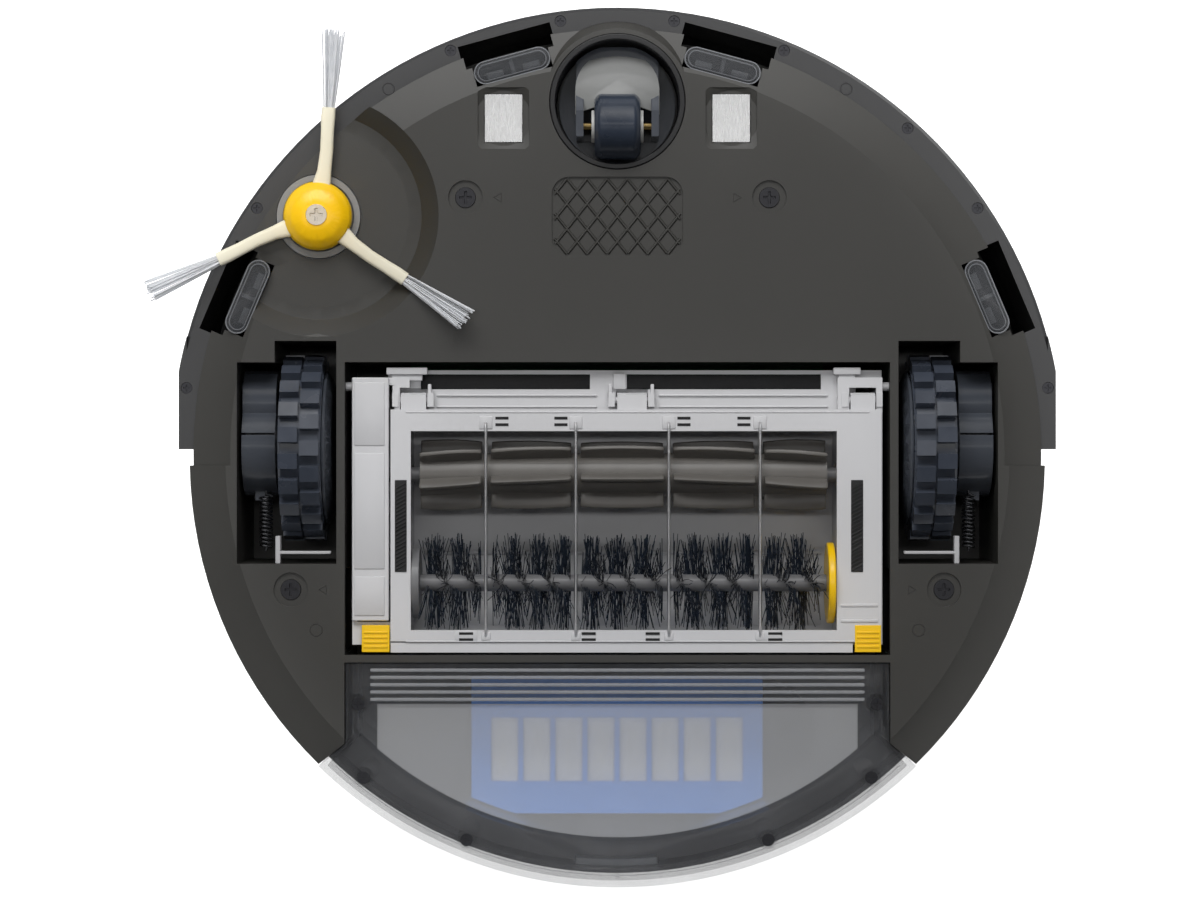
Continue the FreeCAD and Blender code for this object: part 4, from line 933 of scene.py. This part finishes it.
skin = add(tree, "ShaderNodeBsdfPrincipled", {"Roughness": 0.9, "Sheen Weight": 0.3},
           {"Base Color": (fibre_shade, 2), "Normal": (fleece_bump, 0)})
add(tree, "ShaderNodeOutputMaterial", {}, {"Surface": (skin, 0)})
rounded("filter_media", 0.0, fleece)
lid_grey = moulded("lid_abs", "#5c5d60", "#65666a", 0.4)
rounded("bin_lid", 0.5, lid_grey)
rounded("bin_fan_motor", 0.6, satin_black)
button_grey = moulded("button_abs", "#8f9296", "#989b9f", 0.3, coat=0.2)
rounded("bin_release_button", 0.8, button_grey, segments=3)
bar_ribs = []
bar_half = 98.0
for k in range(5):
    y = tray_low.y + 2.6 + 2.9 * k
    bar_ribs.append([Vector((x, y, tray_low.z + 0.15)) * mm for x in (-bar_half, bar_half)])
rib_clear = clear_plastic("clear_rib_polycarbonate", "#c6c8cc", 0.35, 0.7, 0.06)
rods("bin_inlet_ribs", bar_ribs, 0.75, 10, rib_clear, "dust_bin")

# ---- Top cover and controls ----------------------------------------------------------------
# A slightly crowned charcoal lid with a silver trim ring, a glossy control disc with three
# keys, a carry handle that folds flat, and a small infrared dome at the front edge.

rounded("top_cover", 0.5, charcoal, smooth=28)
silver = metal("silver_lacquer", "#8e9094", 0.36, scale=0.6)
rounded("trim_ring", 0.25, silver)
panel_gloss = moulded("panel_acrylic", "#17181a", "#1b1c1f", 0.14, grain=2.0, depth=0.003, coat=0.6)
rounded("control_panel", 0.4, panel_gloss)
for node in ("clean_button", "spot_button", "dock_button"):
    rounded(node, 0.6, button_grey, segments=3)
rounded("infrared_dome", 0.6, window_black, segments=3, smooth=50)
rounded("carry_handle", 0.8, charcoal, segments=3)

# ---- Power and control inside --------------------------------------------------------------
# Hidden parts: the battery pack in its moulded yellow case, and the main circuit board under
# green solder mask.

battery_case = moulded("battery_case_abs", "#d9a914", "#e0b11c", 0.45)
rounded("battery_pack", 1.5, battery_case, segments=3)
board = moulded("solder_mask", "#0f5a33", "#136239", 0.35)
rounded("circuit_board", 0.0, board)

bpy.context.view_layer.update()
